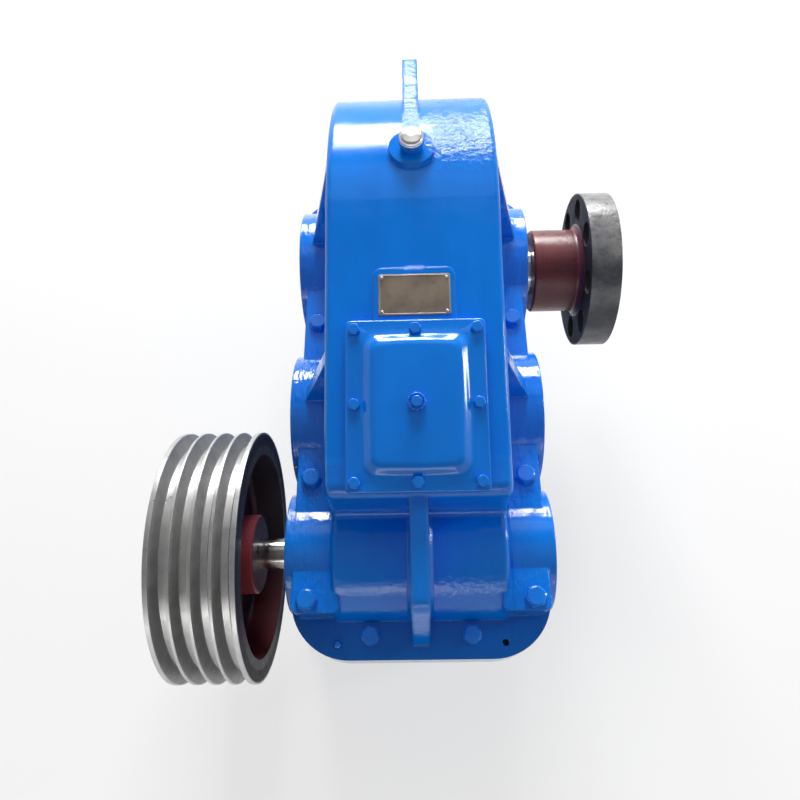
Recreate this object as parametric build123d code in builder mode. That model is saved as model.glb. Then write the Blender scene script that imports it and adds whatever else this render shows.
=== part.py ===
from build123d import *
import os
from collections import namedtuple
from math import acos, asin, atan, ceil, cos, degrees, pi, radians, sin, sqrt, tan

# Two-stage helical gear reducer with a V-belt pulley on the input and a coupling half on the output.
# Millimetres. X runs along the shafts with the pulley at -X, Y runs from the input end to the output
# end, Z is up. The origin is the centre of the foot-hole pattern on the base plane.

Bearing = namedtuple("Bearing", "bore outside width inner_width outer_width roller roller_length count")
Gear = namedtuple("Gear", "start_x face root_radius rim_wall web hub_radius")
Key = namedtuple("Key", "width height shaft_depth length")
Site = namedtuple("Site", "y boss_radius bearing")
Plug = namedtuple("Plug", "x z boss_radius")
Bolt = namedtuple("Bolt", "radius flats head nut")

# Gear train: normal modules, teeth and face widths. Each helix angle has a cosine of 0.99.
high_module = 3.0
high_pinion_teeth = 16
high_gear_teeth = 83
high_face = 54.0
low_module = 4.0
low_pinion_teeth = 14
low_gear_teeth = 85
low_face = 72.0
pinion_extra_face = 5.0
pinion_core_depth = 1.0
helix_cosine = 0.99
pressure_angle = 20.0
gear_backlash = 0.3
dedendum_factor = 1.25
pinion_flank_points = 3
wheel_flank_points = 2
gear_side_gap = 10.0
gears_half = (high_face + gear_side_gap + low_face) / 2
high_gear_x = gears_half - high_face
low_gear_x = -gears_half
low_tip_radius = low_module * (low_gear_teeth / helix_cosine / 2 + 1)

# Casing. Its width is counted outward from the gears, its height and arch from the large wheel.
casing_wall = 8.0
sump_floor = 15.0
sump_clearance = 5.0
gear_floor_gap = 9.0
gear_arch_gap = 19.0
shaft_height = ceil(low_tip_radius + gear_floor_gap + sump_floor)
arch_radius = ceil(low_tip_radius + gear_arch_gap + casing_wall)
roof_drop = 46.0
roof_reach = arch_radius - roof_drop
roof_half = gears_half + gear_side_gap + casing_wall
boss_length = 46.0
boss_half = roof_half + boss_length
near_radius = 75.0
step_offset = 22.0
step_round = 14.0
rim_round = 6.0
near_flange = 34.0
far_flange = 40.0
near_overhang = near_radius + near_flange
far_overhang = arch_radius + far_flange
flange_half = boss_half - 2.0
flange_far_half = flange_half - 18.0
flange_thickness = 18.0
flange_near_round = 60.0
flange_far_round = 35.0
flange_neck = 86.0
boss_wall_input = 21.5
boss_wall_intermediate = 25.0
boss_wall_output = 22.0
pad_half = flange_half - 6.0
pad_height = 54.0
pad_near_overhang = 69.0
far_pad_half = flange_far_half - 2.0
far_pad_height = 36.0
far_pad_reach = 106.0
pad_round = 6.0
lower_pad_depth = 54.0
gusset_thickness = 14.0
gusset_foot = boss_half - 14.0
gusset_drop = 6.0
foot_half = boss_half + 13.0
foot_inner = 70.0
foot_end_inset = 53.0
foot_thickness = 20.0
foot_round = 14.0
foot_hole_radius = 9.0
foot_hole_inset = 25.0
foot_spacing_x = 2 * (foot_half - foot_hole_inset)
foot_spacing_y = 400.0
lower_rib_thickness = 12.0
lower_rib_foot = boss_half + 4.0

# Lifting lugs
lug_thickness = 17.0
lug_eye_radius = 14.0
near_lug_drop = 5.5
near_lug_tip = 73.5
near_lug_foot = 101.0
near_eye_y = 54.0
near_eye_z = 80.0
far_lug_start = 60.0
far_lug_foot = 232.0
far_eye_y = 172.0
far_eye_z = 136.0
far_eye_wall = 16.0
far_lug_tangent = 75.0

# Bolting. Shanks and the holes for them have few sides, which keeps the repeated pieces light.
bearing_bolt_radius = 6.0
bearing_bolt_flats = 18.0
bearing_bolt_head = 7.5
bearing_nut_height = 10.0
bearing_bolt_inset = 15.0
bearing_bolt_x = pad_half - bearing_bolt_inset
bearing_bolt_near = 57.0
bearing_bolt_far = 95.0
bearing_bolt_shift = 4.0
bearing_bolt_far_inset = 12.0
bearing_bolt_far_x = far_pad_half - bearing_bolt_far_inset
end_bolt_radius = 5.0
end_bolt_flats = 16.0
end_bolt_head = 6.4
end_nut_height = 8.4
end_bolt_x = 50.0
end_bolt_inset = 23.0
bolt_stick_out = 4.0
bolt_hole_clearance = 0.75
shank_sides = 8
dowel_radius = 4.0
dowel_x = 82.0
dowel_inset = 15.0
dowel_stick_out = 3.0
jack_hole_radius = 3.4
thread_clearance = 0.02

# Inspection cover, nameplate and breather. Distances along the roof slope are counted from the
# point above the intermediate shaft.
cover_width = 130.0
cover_length = 160.0
cover_low_edge = -130.0
cover_centre = cover_low_edge + cover_length / 2
cover_corner = 9.0
cover_plate = 6.0
cover_pad = 3.0
gasket_thickness = 1.5
cover_rim_sides = 17.5
cover_rim_ends = 16.0
pan_width = cover_width - 2 * cover_rim_sides
pan_length = cover_length - 2 * cover_rim_ends
pan_height = 7.0
pan_taper = 40.0
pan_wall = 5.0
cover_bolt_radius = 3.0
cover_bolt_flats = 10.0
cover_bolt_head = 4.0
cover_bolt_depth = 10.0
cover_bolt_x = cover_width / 2 - 8.0
cover_bolt_pitch = cover_length / 2 - 9.0
fill_plug_radius = 5.0
fill_plug_flats = 12.0
fill_plug_head = 7.0
fill_plug_collar = 8.5
fill_collar_height = 2.5
nameplate_width = 68.5
nameplate_length = 41.0
nameplate_thickness = 1.0
nameplate_gap = 6.5
nameplate_centre = cover_low_edge + cover_length + nameplate_gap + nameplate_length / 2
nameplate_margin = 4.75
nameplate_pad_width = nameplate_width + 2 * nameplate_margin
nameplate_pad_top = nameplate_centre + nameplate_length / 2 + 7.0
nameplate_pad_height = 2.0
nameplate_pad_round = 9.0
rivet_radius = 1.6
rivet_head = 0.8
rivet_inset = 3.5
breather_seat_radius = 23.0
breather_seat_height = 5.0
breather_y = 9.0
breather_stem_radius = 8.0
breather_body_radius = 11.0
breather_body_height = 5.0
breather_cap_radius = 12.5
breather_cap_height = 12.0

# Plugs on the far wall of the lower housing
drain_z = 34.0
drain_boss_radius = 20.0
level_z = 92.0
level_x = 48.0
level_boss_radius = 18.0
plug_boss_height = 6.0
plug_radius = 9.0
plug_flats = 22.0
plug_head = 9.0
plug_washer_radius = 15.0
plug_washer_thickness = 2.0

# Tapered roller bearings. The roller size is its mean diameter.
input_bearing = Bearing(
    bore=40.0,
    outside=80.0,
    width=19.75,
    inner_width=18.0,
    outer_width=16.0,
    roller=9.9,
    roller_length=12.0,
    count=17,
)
intermediate_bearing = Bearing(
    bore=45.0,
    outside=100.0,
    width=27.25,
    inner_width=25.0,
    outer_width=22.0,
    roller=13.4,
    roller_length=17.0,
    count=15,
)
output_bearing = Bearing(
    bore=60.0,
    outside=110.0,
    width=23.75,
    inner_width=22.0,
    outer_width=19.0,
    roller=12.2,
    roller_length=14.0,
    count=19,
)
contact_angle = 11.5
roller_gap = 0.3
roller_sides = 6
ring_fit = 0.02
pitch_shift = 0.3

# Embedded bearing end covers and shaft seals
cover_thickness = 25.0
cover_sink = 3.0
cover_lock_inset = 8.0
cover_outer_x = boss_half - cover_sink
cover_inner_x = cover_outer_x - cover_thickness
cover_lock_x = cover_inner_x + cover_lock_inset
cover_lock_width = 8.0
cover_lock_height = 5.0
cover_fit = 0.05
seal_width = 9.0
input_seal_radius = 26.0
output_seal_radius = 40.0
seal_gap = 0.05
shaft_hole_gap = 0.6

# Input shaft
input_journal_radius = 16.0
pulley_seat_radius = 15.0
pulley_offset = 36.0
pulley_seat_x = -boss_half - pulley_offset
pulley_seat_length = 68.0
input_body_radius = 24.0
shaft_end_gap = 1.0
seal_journal_margin = 1.0

# V-belt pulley, B section
pulley_grooves = 4
groove_pitch = 19.0
groove_edge = 12.5
groove_angle = 38.0
groove_depth = 14.3
groove_top = 16.4
pulley_radius = 128.5
pulley_rim_wall = 9.0
pulley_rim_reach = 4.5
pulley_right_x = pulley_seat_x + pulley_rim_reach
pulley_web = 12.0
pulley_web_depth = 46.0
pulley_web_x = pulley_seat_x - pulley_web_depth
pulley_hub_radius = 41.0
end_plate_radius = 22.0
end_plate_thickness = 6.0
end_screw_radius = 5.0
end_screw_flats = 16.0
end_screw_head = 6.4
end_screw_depth = 20.0

# Intermediate shaft
intermediate_collar_radius = 27.0
high_gear_seat_radius = 27.5
high_gear_collar_radius = 33.0
intermediate_spacer_radius = 29.0
high_hub_radius = 45.0
high_web = 16.0
high_rim_wall = 10.0

# Output shaft
low_gear_seat_radius = 35.0
low_gear_collar_radius = 42.0
low_gear_collar_width = 12.0
output_body_radius = 37.0
output_spacer_radius = 39.0
low_hub_radius = 58.0
low_web = 20.0
low_rim_wall = 13.0
output_journal_radius = 29.0
coupling_seat_radius = 27.5
coupling_offset = 12.0
coupling_hub_x = boss_half + coupling_offset
coupling_hub_radius = 50.0
coupling_neck = 57.0
coupling_flange_x = coupling_hub_x + coupling_neck
coupling_flange_radius = 93.0
coupling_flange_width = 34.0
coupling_hole_radius = 14.0
coupling_hole_circle = 72.5
coupling_holes = 8
coupling_spigot_radius = 50.0
coupling_spigot_depth = 4.0
coupling_root_chamfer = 5.0

# Square-ended parallel keys
pulley_key_size = Key(width=8.0, height=7.0, shaft_depth=4.0, length=56.0)
high_gear_key_size = Key(width=16.0, height=10.0, shaft_depth=6.0, length=45.0)
low_gear_key_size = Key(width=20.0, height=12.0, shaft_depth=7.5, length=63.0)
coupling_key_size = Key(width=16.0, height=10.0, shaft_depth=6.0, length=80.0)
key_side_gap = 0.02
key_top_gap = 0.3
edge_chamfer = 1.0

# Derived places of the shafts
high_centre = high_module * (high_pinion_teeth + high_gear_teeth) / (2 * helix_cosine)
low_centre = low_module * (low_pinion_teeth + low_gear_teeth) / (2 * helix_cosine)
casing_length = near_overhang + high_centre + low_centre + far_overhang
near_end_y = -casing_length / 2
far_end_y = casing_length / 2
foot_half_length = far_end_y - foot_end_inset
input_y = near_end_y + near_overhang
intermediate_y = input_y + high_centre
output_y = intermediate_y + low_centre
helix_tangent = sqrt(1 - helix_cosine**2) / helix_cosine
roof_angle = asin((arch_radius - roof_reach) / low_centre)
inner_half = roof_half - casing_wall
parting = Plane.XY.offset(shaft_height)
input_boss_radius = input_bearing.outside / 2 + boss_wall_input
intermediate_boss_radius = intermediate_bearing.outside / 2 + boss_wall_intermediate
output_boss_radius = output_bearing.outside / 2 + boss_wall_output
sites = {
    "input": Site(input_y, input_boss_radius, input_bearing),
    "intermediate": Site(intermediate_y, intermediate_boss_radius, intermediate_bearing),
    "output": Site(output_y, output_boss_radius, output_bearing),
}
sides = (1, -1)
os.makedirs("parts", exist_ok=True)


def across(axis_y, x=0.0, side=1):
    """Plane square to a shaft at the given distance out from the middle, its normal outward."""
    return Plane(origin=(side * x, axis_y, shaft_height), x_dir=(0, 1, 0), z_dir=(side, 0, 0))


def along(axis_y, side=1):
    """Plane through a shaft's axis: its x runs outward along the shaft and its y is up."""
    return Plane(origin=(0, axis_y, shaft_height), x_dir=(side, 0, 0), z_dir=(0, -side, 0))


def axis_line(axis_y):
    return Axis((0, axis_y, shaft_height), (1, 0, 0))


def roof_z(y, inset=0.0):
    """Height of the roof plane above the parting plane at a distance y along the casing."""
    return (roof_reach - inset) / cos(roof_angle) + (y - intermediate_y) * tan(roof_angle)


def roof_plane(distance, lift=0.0):
    """Plane on the sloped roof at a distance up it from above the intermediate shaft."""
    normal = (0, -sin(roof_angle), cos(roof_angle))
    origin_y = intermediate_y + distance * cos(roof_angle) + lift * normal[1]
    origin_z = shaft_height + roof_z(intermediate_y) + distance * sin(roof_angle) + lift * normal[2]
    return Plane(origin=(0, origin_y, origin_z), x_dir=(1, 0, 0), z_dir=normal)


def save(part, name):
    part.label = name
    export_step(part, f"parts/{name}.step")


def casing_side(inset, corner_round, valley_round):
    """Side outline of the upper casing: near drum, step, sloped roof and arch, heights above parting."""
    drum = near_radius - inset
    arch = arch_radius - inset
    step_y = input_y + step_offset + inset
    valley_z = sqrt(drum**2 - (step_offset + inset) ** 2)
    valley_angle = degrees(acos((step_offset + inset) / drum))
    roof_end = (step_y, roof_z(step_y, inset))
    tangent_point = (output_y - arch * sin(roof_angle), arch * cos(roof_angle))
    with BuildSketch() as side_face:
        with BuildLine():
            CenterArc((input_y, 0), drum, 180, valley_angle - 180)
            Line((step_y, valley_z), roof_end)
            Line(roof_end, tangent_point)
            CenterArc((output_y, 0), arch, 90 + degrees(roof_angle), -90 - degrees(roof_angle))
            Line((output_y + arch, 0), (input_y - drum, 0))
        make_face()
        corners = side_face.vertices()
        fillet(corners.sort_by_distance((*roof_end, 0))[0], corner_round)
        fillet(side_face.vertices().sort_by_distance((step_y, valley_z, 0))[0], valley_round)
    return side_face.sketch


def flange_plan():
    """Plan of the split flange: wide beside the bosses, narrow round the far end."""
    neck_y = output_y + flange_neck
    outline = [
        (-flange_half, near_end_y),
        (flange_half, near_end_y),
        (flange_half, neck_y),
        (flange_far_half, neck_y + flange_half - flange_far_half),
        (flange_far_half, far_end_y),
        (-flange_far_half, far_end_y),
        (-flange_far_half, neck_y + flange_half - flange_far_half),
        (-flange_half, neck_y),
    ]
    with BuildSketch() as plan:
        with BuildLine():
            Polyline(*outline, close=True)
        make_face()
        near_corners = plan.vertices().group_by(Axis.Y)[0]
        fillet(near_corners, flange_near_round)
        fillet(plan.vertices().group_by(Axis.Y)[-1], flange_far_round)
    return plan.sketch


def pad_blocks(near_half, near_y, far_y):
    """Plan of the bolt pads on both sides of the casing between two places along it."""
    width = near_half - inner_half
    with BuildSketch() as plan:
        for side in sides:
            with Locations((side * (inner_half + width / 2), (near_y + far_y) / 2)):
                RectangleRounded(width, far_y - near_y, pad_round)
    return plan.sketch


input_boss_end = input_y + input_boss_radius
intermediate_boss_start = intermediate_y - intermediate_boss_radius
intermediate_boss_end = intermediate_y + intermediate_boss_radius
output_boss_start = output_y - output_boss_radius
bearing_bolt_sites = [
    (bearing_bolt_x, input_y - bearing_bolt_near),
    (bearing_bolt_x, (input_boss_end + intermediate_boss_start) / 2 - bearing_bolt_shift),
    (bearing_bolt_x, (intermediate_boss_end + output_boss_start) / 2),
]
far_bolt_sites = [(bearing_bolt_far_x, output_y + bearing_bolt_far)]
end_bolt_sites = [(end_bolt_x, near_end_y + end_bolt_inset), (end_bolt_x, far_end_y - end_bolt_inset)]
dowel_places = [(-dowel_x, near_end_y + dowel_inset), (dowel_x, far_end_y - dowel_inset)]
cover_bolt_places = [
    (side * cover_bolt_x, row * cover_bolt_pitch) for side in sides for row in (-1, 0, 1)
] + [(0, -cover_bolt_pitch), (0, cover_bolt_pitch)]
breather_top = Plane(
    origin=(0, output_y + breather_y, shaft_height + arch_radius + breather_seat_height),
    x_dir=(1, 0, 0),
    z_dir=(0, 0, 1),
)
far_wall_plane = Plane(
    origin=(0, output_y + arch_radius, 0), x_dir=(-1, 0, 0), z_dir=(0, 1, 0)
)
plug_sites = {
    "drain": Plug(0, drain_z, drain_boss_radius),
    "oil_level": Plug(-level_x, level_z, level_boss_radius),
}


def both_sides(places):
    return [(side * x, y) for x, y in places for side in sides]


def lug_faces():
    """Side faces of the two lifting lugs, heights above the parting plane."""
    ridge_end_y = input_y - near_lug_tip
    ridge_start_y = input_y + step_offset + casing_wall
    near_outline = [
        (ridge_start_y, roof_z(ridge_start_y) - near_lug_drop),
        (ridge_end_y, roof_z(ridge_end_y) - near_lug_drop),
        (input_y - near_lug_foot, 0),
        (ridge_start_y, 0),
    ]
    eye_wall_radius = lug_eye_radius + far_eye_wall
    eye = (output_y + far_eye_y, far_eye_z)
    start_angle = radians(far_lug_tangent)
    far_outline = [
        (output_y, 0),
        (output_y + far_lug_start, sqrt(arch_radius**2 - far_lug_start**2)),
        (eye[0] + eye_wall_radius * cos(start_angle), eye[1] + eye_wall_radius * sin(start_angle)),
        (eye[0] + eye_wall_radius, eye[1]),
        (output_y + far_lug_foot, flange_thickness),
        (output_y + far_lug_foot, 0),
    ]
    with BuildSketch() as faces:
        with BuildLine():
            Polyline(*near_outline, close=True)
        make_face()
        tip = faces.vertices().sort_by_distance((*near_outline[1], 0))[0]
        fillet(tip, far_eye_wall)
        with BuildLine():
            Polyline(*far_outline, close=True)
        make_face()
        with Locations(eye):
            Circle(eye_wall_radius)
    return faces.sketch


lug_eyes = [(input_y - near_eye_y, near_eye_z), (output_y + far_eye_y, far_eye_z)]
lug_plane = Plane(origin=(0, 0, shaft_height), x_dir=(0, 1, 0), z_dir=(1, 0, 0))

# Upper housing
with BuildPart() as upper_housing:
    with BuildSketch(lug_plane):
        add(casing_side(0, step_round, pad_round))
    extrude(amount=roof_half, both=True)
    rims = upper_housing.edges().filter_by(lambda e: abs(abs(e.center().X) - roof_half) < 0.01)
    fillet(rims.filter_by(lambda e: e.center().Z > shaft_height + 1), rim_round)
    with BuildSketch(parting):
        add(flange_plan())
    extrude(amount=flange_thickness)
    with BuildSketch(parting):
        add(pad_blocks(pad_half, input_y - pad_near_overhang, output_y))
    extrude(amount=pad_height)
    with BuildSketch(parting):
        add(pad_blocks(far_pad_half, output_y, output_y + far_pad_reach))
    extrude(amount=far_pad_height)
    for site in sites.values():
        for side in sides:
            with BuildSketch(across(site.y, inner_half, side)):
                Circle(site.boss_radius)
            extrude(amount=boss_half - inner_half)
    for site in (sites["intermediate"], sites["output"]):
        top_z = min(roof_z(site.y), arch_radius) - gusset_drop
        foot_z = site.boss_radius - gusset_drop
        for side in sides:
            with BuildSketch(Plane.XZ.offset(-site.y)):
                with BuildLine():
                    Polyline(
                        (side * inner_half, shaft_height + foot_z),
                        (side * gusset_foot, shaft_height + foot_z),
                        (side * roof_half, shaft_height + top_z),
                        (side * inner_half, shaft_height + top_z),
                        close=True,
                    )
                make_face()
            extrude(amount=gusset_thickness / 2, both=True)
    with BuildSketch(lug_plane):
        add(lug_faces())
    extrude(amount=lug_thickness / 2, both=True)
    with BuildSketch(roof_plane(cover_centre, -casing_wall / 2)):
        RectangleRounded(cover_width, cover_length, cover_corner)
    extrude(amount=casing_wall / 2 + cover_pad)
    pad_length = nameplate_pad_top - (cover_centre + cover_length / 2) + nameplate_pad_round
    with BuildSketch(roof_plane(nameplate_pad_top - pad_length / 2, -casing_wall / 2)):
        RectangleRounded(nameplate_pad_width, pad_length, nameplate_pad_round)
    extrude(amount=casing_wall / 2 + nameplate_pad_height)
    with BuildSketch(parting.offset(arch_radius - casing_wall)):
        with Locations((0, output_y + breather_y)):
            Circle(breather_seat_radius)
    extrude(amount=casing_wall + breather_seat_height)
    split(bisect_by=parting, keep=Keep.TOP)
    with BuildSketch(lug_plane):
        add(casing_side(casing_wall, step_round - casing_wall, pad_round))
    extrude(amount=inner_half, both=True, mode=Mode.SUBTRACT)
    for site in sites.values():
        bore_radius = site.bearing.outside / 2 + ring_fit
        with BuildSketch(across(site.y)):
            Circle(bore_radius)
        extrude(amount=boss_half, both=True, mode=Mode.SUBTRACT)
        for side in sides:
            with BuildSketch(across(site.y, cover_lock_x, side)):
                Circle(bore_radius + cover_lock_height)
            extrude(amount=cover_lock_width, mode=Mode.SUBTRACT)
    with BuildSketch(roof_plane(cover_centre, cover_pad)):
        RectangleRounded(pan_width - 2 * pan_wall, pan_length - 2 * pan_wall, cover_corner)
    extrude(amount=-2 * casing_wall, mode=Mode.SUBTRACT)
    with BuildSketch(lug_plane):
        with Locations(*lug_eyes):
            Circle(lug_eye_radius)
    extrude(amount=lug_thickness, both=True, mode=Mode.SUBTRACT)
    with BuildSketch(parting):
        with Locations(*both_sides(bearing_bolt_sites + far_bolt_sites)):
            RegularPolygon(bearing_bolt_radius + bolt_hole_clearance, shank_sides)
        with Locations(*both_sides(end_bolt_sites)):
            RegularPolygon(end_bolt_radius + bolt_hole_clearance, shank_sides)
        with Locations(*dowel_places):
            RegularPolygon(dowel_radius + thread_clearance, shank_sides)
        with Locations((dowel_x, near_end_y + dowel_inset)):
            RegularPolygon(jack_hole_radius, shank_sides)
    extrude(amount=pad_height, mode=Mode.SUBTRACT)
    with BuildSketch(roof_plane(cover_centre, cover_pad)):
        with Locations(*cover_bolt_places):
            RegularPolygon(cover_bolt_radius + thread_clearance, shank_sides)
    extrude(amount=-cover_pad - casing_wall - pad_round, mode=Mode.SUBTRACT)
    with BuildSketch(breather_top):
        RegularPolygon(breather_stem_radius + thread_clearance, shank_sides)
    extrude(amount=-breather_seat_height - 2 * casing_wall, mode=Mode.SUBTRACT)
save(upper_housing.part, "upper_housing")

# Lower housing
pad_bottom = shaft_height - lower_pad_depth
with BuildPart() as lower_housing:
    sump_length = near_radius + high_centre + low_centre + arch_radius
    sump_centre_y = input_y - near_radius + sump_length / 2
    with BuildSketch(Plane.XY.offset(sump_clearance)):
        with Locations((0, sump_centre_y)):
            RectangleRounded(2 * roof_half, sump_length, foot_round)
    extrude(amount=shaft_height - sump_clearance)
    with BuildSketch(parting):
        add(flange_plan())
    extrude(amount=-flange_thickness)
    with BuildSketch(parting):
        add(pad_blocks(pad_half, input_y - pad_near_overhang, output_y + far_pad_reach))
    extrude(amount=-lower_pad_depth)
    for site in sites.values():
        rib_top = shaft_height - site.boss_radius + gusset_drop
        for side in sides:
            with BuildSketch(across(site.y, inner_half, side)):
                Circle(site.boss_radius)
            extrude(amount=boss_half - inner_half)
            with BuildSketch(Plane.XZ.offset(-site.y)):
                with BuildLine():
                    Polyline(
                        (side * inner_half, 0),
                        (side * lower_rib_foot, 0),
                        (side * (boss_half - edge_chamfer), rib_top),
                        (side * inner_half, rib_top),
                        close=True,
                    )
                make_face()
            extrude(amount=lower_rib_thickness / 2, both=True)
    for side in sides:
        with BuildSketch(Plane.XY):
            with Locations((side * (foot_inner + foot_half) / 2, 0)):
                RectangleRounded(foot_half - foot_inner, 2 * foot_half_length, foot_round)
        extrude(amount=foot_thickness)
    for site in plug_sites.values():
        with BuildSketch(far_wall_plane):
            with Locations((site.x, site.z)):
                Circle(site.boss_radius)
        extrude(amount=plug_boss_height)
    split(bisect_by=parting, keep=Keep.BOTTOM)
    with BuildSketch(Plane.XY.offset(sump_floor)):
        with Locations((0, sump_centre_y)):
            RectangleRounded(2 * inner_half, sump_length - 2 * casing_wall, foot_round - casing_wall)
    extrude(amount=shaft_height, mode=Mode.SUBTRACT)
    for site in sites.values():
        bore_radius = site.bearing.outside / 2 + ring_fit
        with BuildSketch(across(site.y)):
            Circle(bore_radius)
        extrude(amount=boss_half, both=True, mode=Mode.SUBTRACT)
        for side in sides:
            with BuildSketch(across(site.y, cover_lock_x, side)):
                Circle(bore_radius + cover_lock_height)
            extrude(amount=cover_lock_width, mode=Mode.SUBTRACT)
    with BuildSketch(parting):
        with Locations(*both_sides(bearing_bolt_sites + far_bolt_sites)):
            RegularPolygon(bearing_bolt_radius + bolt_hole_clearance, shank_sides)
        with Locations(*both_sides(end_bolt_sites)):
            RegularPolygon(end_bolt_radius + bolt_hole_clearance, shank_sides)
        with Locations(*dowel_places):
            RegularPolygon(dowel_radius + thread_clearance, shank_sides)
    extrude(amount=-lower_pad_depth, mode=Mode.SUBTRACT)
    with BuildSketch(Plane.XY):
        with GridLocations(foot_spacing_x, foot_spacing_y, 2, 2):
            Circle(foot_hole_radius)
    extrude(amount=foot_thickness, mode=Mode.SUBTRACT)
    with BuildSketch(far_wall_plane.offset(plug_boss_height)):
        with Locations(*[(site.x, site.z) for site in plug_sites.values()]):
            RegularPolygon(plug_radius + thread_clearance, shank_sides)
    extrude(amount=-plug_boss_height - casing_wall, mode=Mode.SUBTRACT)
save(lower_housing.part, "lower_housing")

# Inspection cover, its gasket, screws and centre plug
gasket_plane = roof_plane(cover_centre, cover_pad)
cover_plane = roof_plane(cover_centre, cover_pad + gasket_thickness)
plate_top = roof_plane(cover_centre, cover_pad + gasket_thickness + cover_plate)
pan_top = plate_top.offset(pan_height)
with BuildPart() as inspection_gasket:
    with BuildSketch(gasket_plane):
        RectangleRounded(cover_width, cover_length, cover_corner)
        RectangleRounded(
            pan_width - 2 * pan_wall, pan_length - 2 * pan_wall, cover_corner, mode=Mode.SUBTRACT
        )
        with Locations(*cover_bolt_places):
            RegularPolygon(cover_bolt_radius + thread_clearance, shank_sides, mode=Mode.SUBTRACT)
    extrude(amount=gasket_thickness)
save(inspection_gasket.part, "inspection_gasket")

with BuildPart() as inspection_cover:
    with BuildSketch(cover_plane):
        RectangleRounded(cover_width, cover_length, cover_corner)
    extrude(amount=cover_plate)
    with BuildSketch(plate_top):
        RectangleRounded(pan_width, pan_length, cover_corner)
    extrude(amount=pan_height, taper=pan_taper)
    with BuildSketch(cover_plane):
        RectangleRounded(pan_width - 2 * pan_wall, pan_length - 2 * pan_wall, cover_corner)
    extrude(amount=cover_plate + pan_height - pan_wall, taper=pan_taper / 2, mode=Mode.SUBTRACT)
    with BuildSketch(plate_top):
        with Locations(*cover_bolt_places):
            RegularPolygon(cover_bolt_radius + thread_clearance, shank_sides)
    extrude(amount=-cover_plate, mode=Mode.SUBTRACT)
    with BuildSketch(pan_top):
        RegularPolygon(fill_plug_radius + thread_clearance, shank_sides)
    extrude(amount=-pan_height - cover_plate, mode=Mode.SUBTRACT)
save(inspection_cover.part, "inspection_cover")

with BuildPart() as inspection_cover_screws:
    with BuildSketch(plate_top):
        with Locations(*cover_bolt_places):
            RegularPolygon(cover_bolt_flats / 2, 6, major_radius=False)
    extrude(amount=cover_bolt_head)
    with BuildSketch(plate_top):
        with Locations(*cover_bolt_places):
            RegularPolygon(cover_bolt_radius, shank_sides)
    extrude(amount=-cover_plate - gasket_thickness - cover_bolt_depth)
save(inspection_cover_screws.part, "inspection_cover_screws")

with BuildPart() as cover_plug:
    with BuildSketch(pan_top):
        Circle(fill_plug_collar)
    extrude(amount=fill_collar_height)
    with BuildSketch(pan_top.offset(fill_collar_height)):
        RegularPolygon(fill_plug_flats / 2, 6, major_radius=False)
    extrude(amount=fill_plug_head - fill_collar_height)
    with BuildSketch(pan_top):
        RegularPolygon(fill_plug_radius, shank_sides)
    extrude(amount=-pan_wall - fill_collar_height)
save(cover_plug.part, "cover_plug")

# Nameplate and its rivets
plate_seat = roof_plane(nameplate_centre, nameplate_pad_height)
rivet_grid = (nameplate_width - 2 * rivet_inset, nameplate_length - 2 * rivet_inset, 2, 2)
with BuildPart() as nameplate:
    with BuildSketch(plate_seat):
        Rectangle(nameplate_width, nameplate_length)
    extrude(amount=nameplate_thickness)
save(nameplate.part, "nameplate")

with BuildPart() as nameplate_rivets:
    with BuildSketch(plate_seat.offset(nameplate_thickness)):
        with GridLocations(*rivet_grid):
            RegularPolygon(rivet_radius, 8)
    extrude(amount=rivet_head)
save(nameplate_rivets.part, "nameplate_rivets")

# Breather
with BuildPart() as breather_body:
    with BuildSketch(breather_top):
        Circle(breather_body_radius)
    extrude(amount=breather_body_height)
    with BuildSketch(breather_top):
        RegularPolygon(breather_stem_radius, shank_sides)
    extrude(amount=-breather_seat_height - casing_wall)
save(breather_body.part, "breather_body")

with BuildPart() as breather_cap:
    with BuildSketch(breather_top.offset(breather_body_height)):
        Circle(breather_cap_radius)
    extrude(amount=breather_cap_height)
    chamfer(breather_cap.faces().sort_by(Axis.Z)[-1].edges(), 2 * edge_chamfer)
save(breather_cap.part, "breather_cap")


# Hex bolts and nuts of the split, placed by groups of (places, seat height, nut face height)
def bolts(bolt, groups):
    with BuildPart() as set_of_bolts:
        for places, seat_z, nut_z in groups:
            with BuildSketch(Plane.XY.offset(seat_z)):
                with Locations(*places):
                    RegularPolygon(bolt.flats / 2, 6, major_radius=False)
            extrude(amount=bolt.head)
            with BuildSketch(Plane.XY.offset(seat_z)):
                with Locations(*places):
                    RegularPolygon(bolt.radius, shank_sides)
            extrude(amount=nut_z - bolt.nut - bolt_stick_out - seat_z)
    return set_of_bolts.part


def nuts(bolt, groups):
    with BuildPart() as set_of_nuts:
        for places, seat_z, nut_z in groups:
            with BuildSketch(Plane.XY.offset(nut_z)):
                with Locations(*places):
                    RegularPolygon(bolt.flats / 2, 6, major_radius=False)
                    RegularPolygon(bolt.radius + thread_clearance, shank_sides, mode=Mode.SUBTRACT)
            extrude(amount=-bolt.nut)
    return set_of_nuts.part


bearing_bolt = Bolt(bearing_bolt_radius, bearing_bolt_flats, bearing_bolt_head, bearing_nut_height)
bearing_bolt_groups = [
    (both_sides(bearing_bolt_sites), shaft_height + pad_height, pad_bottom),
    (both_sides(far_bolt_sites), shaft_height + far_pad_height, pad_bottom),
]
end_bolt = Bolt(end_bolt_radius, end_bolt_flats, end_bolt_head, end_nut_height)
end_bolt_groups = [
    (both_sides(end_bolt_sites), shaft_height + flange_thickness, shaft_height - flange_thickness)
]
save(bolts(bearing_bolt, bearing_bolt_groups), "bearing_cap_bolts")
save(nuts(bearing_bolt, bearing_bolt_groups), "bearing_cap_nuts")
save(bolts(end_bolt, end_bolt_groups), "flange_bolts")
save(nuts(end_bolt, end_bolt_groups), "flange_nuts")

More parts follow.
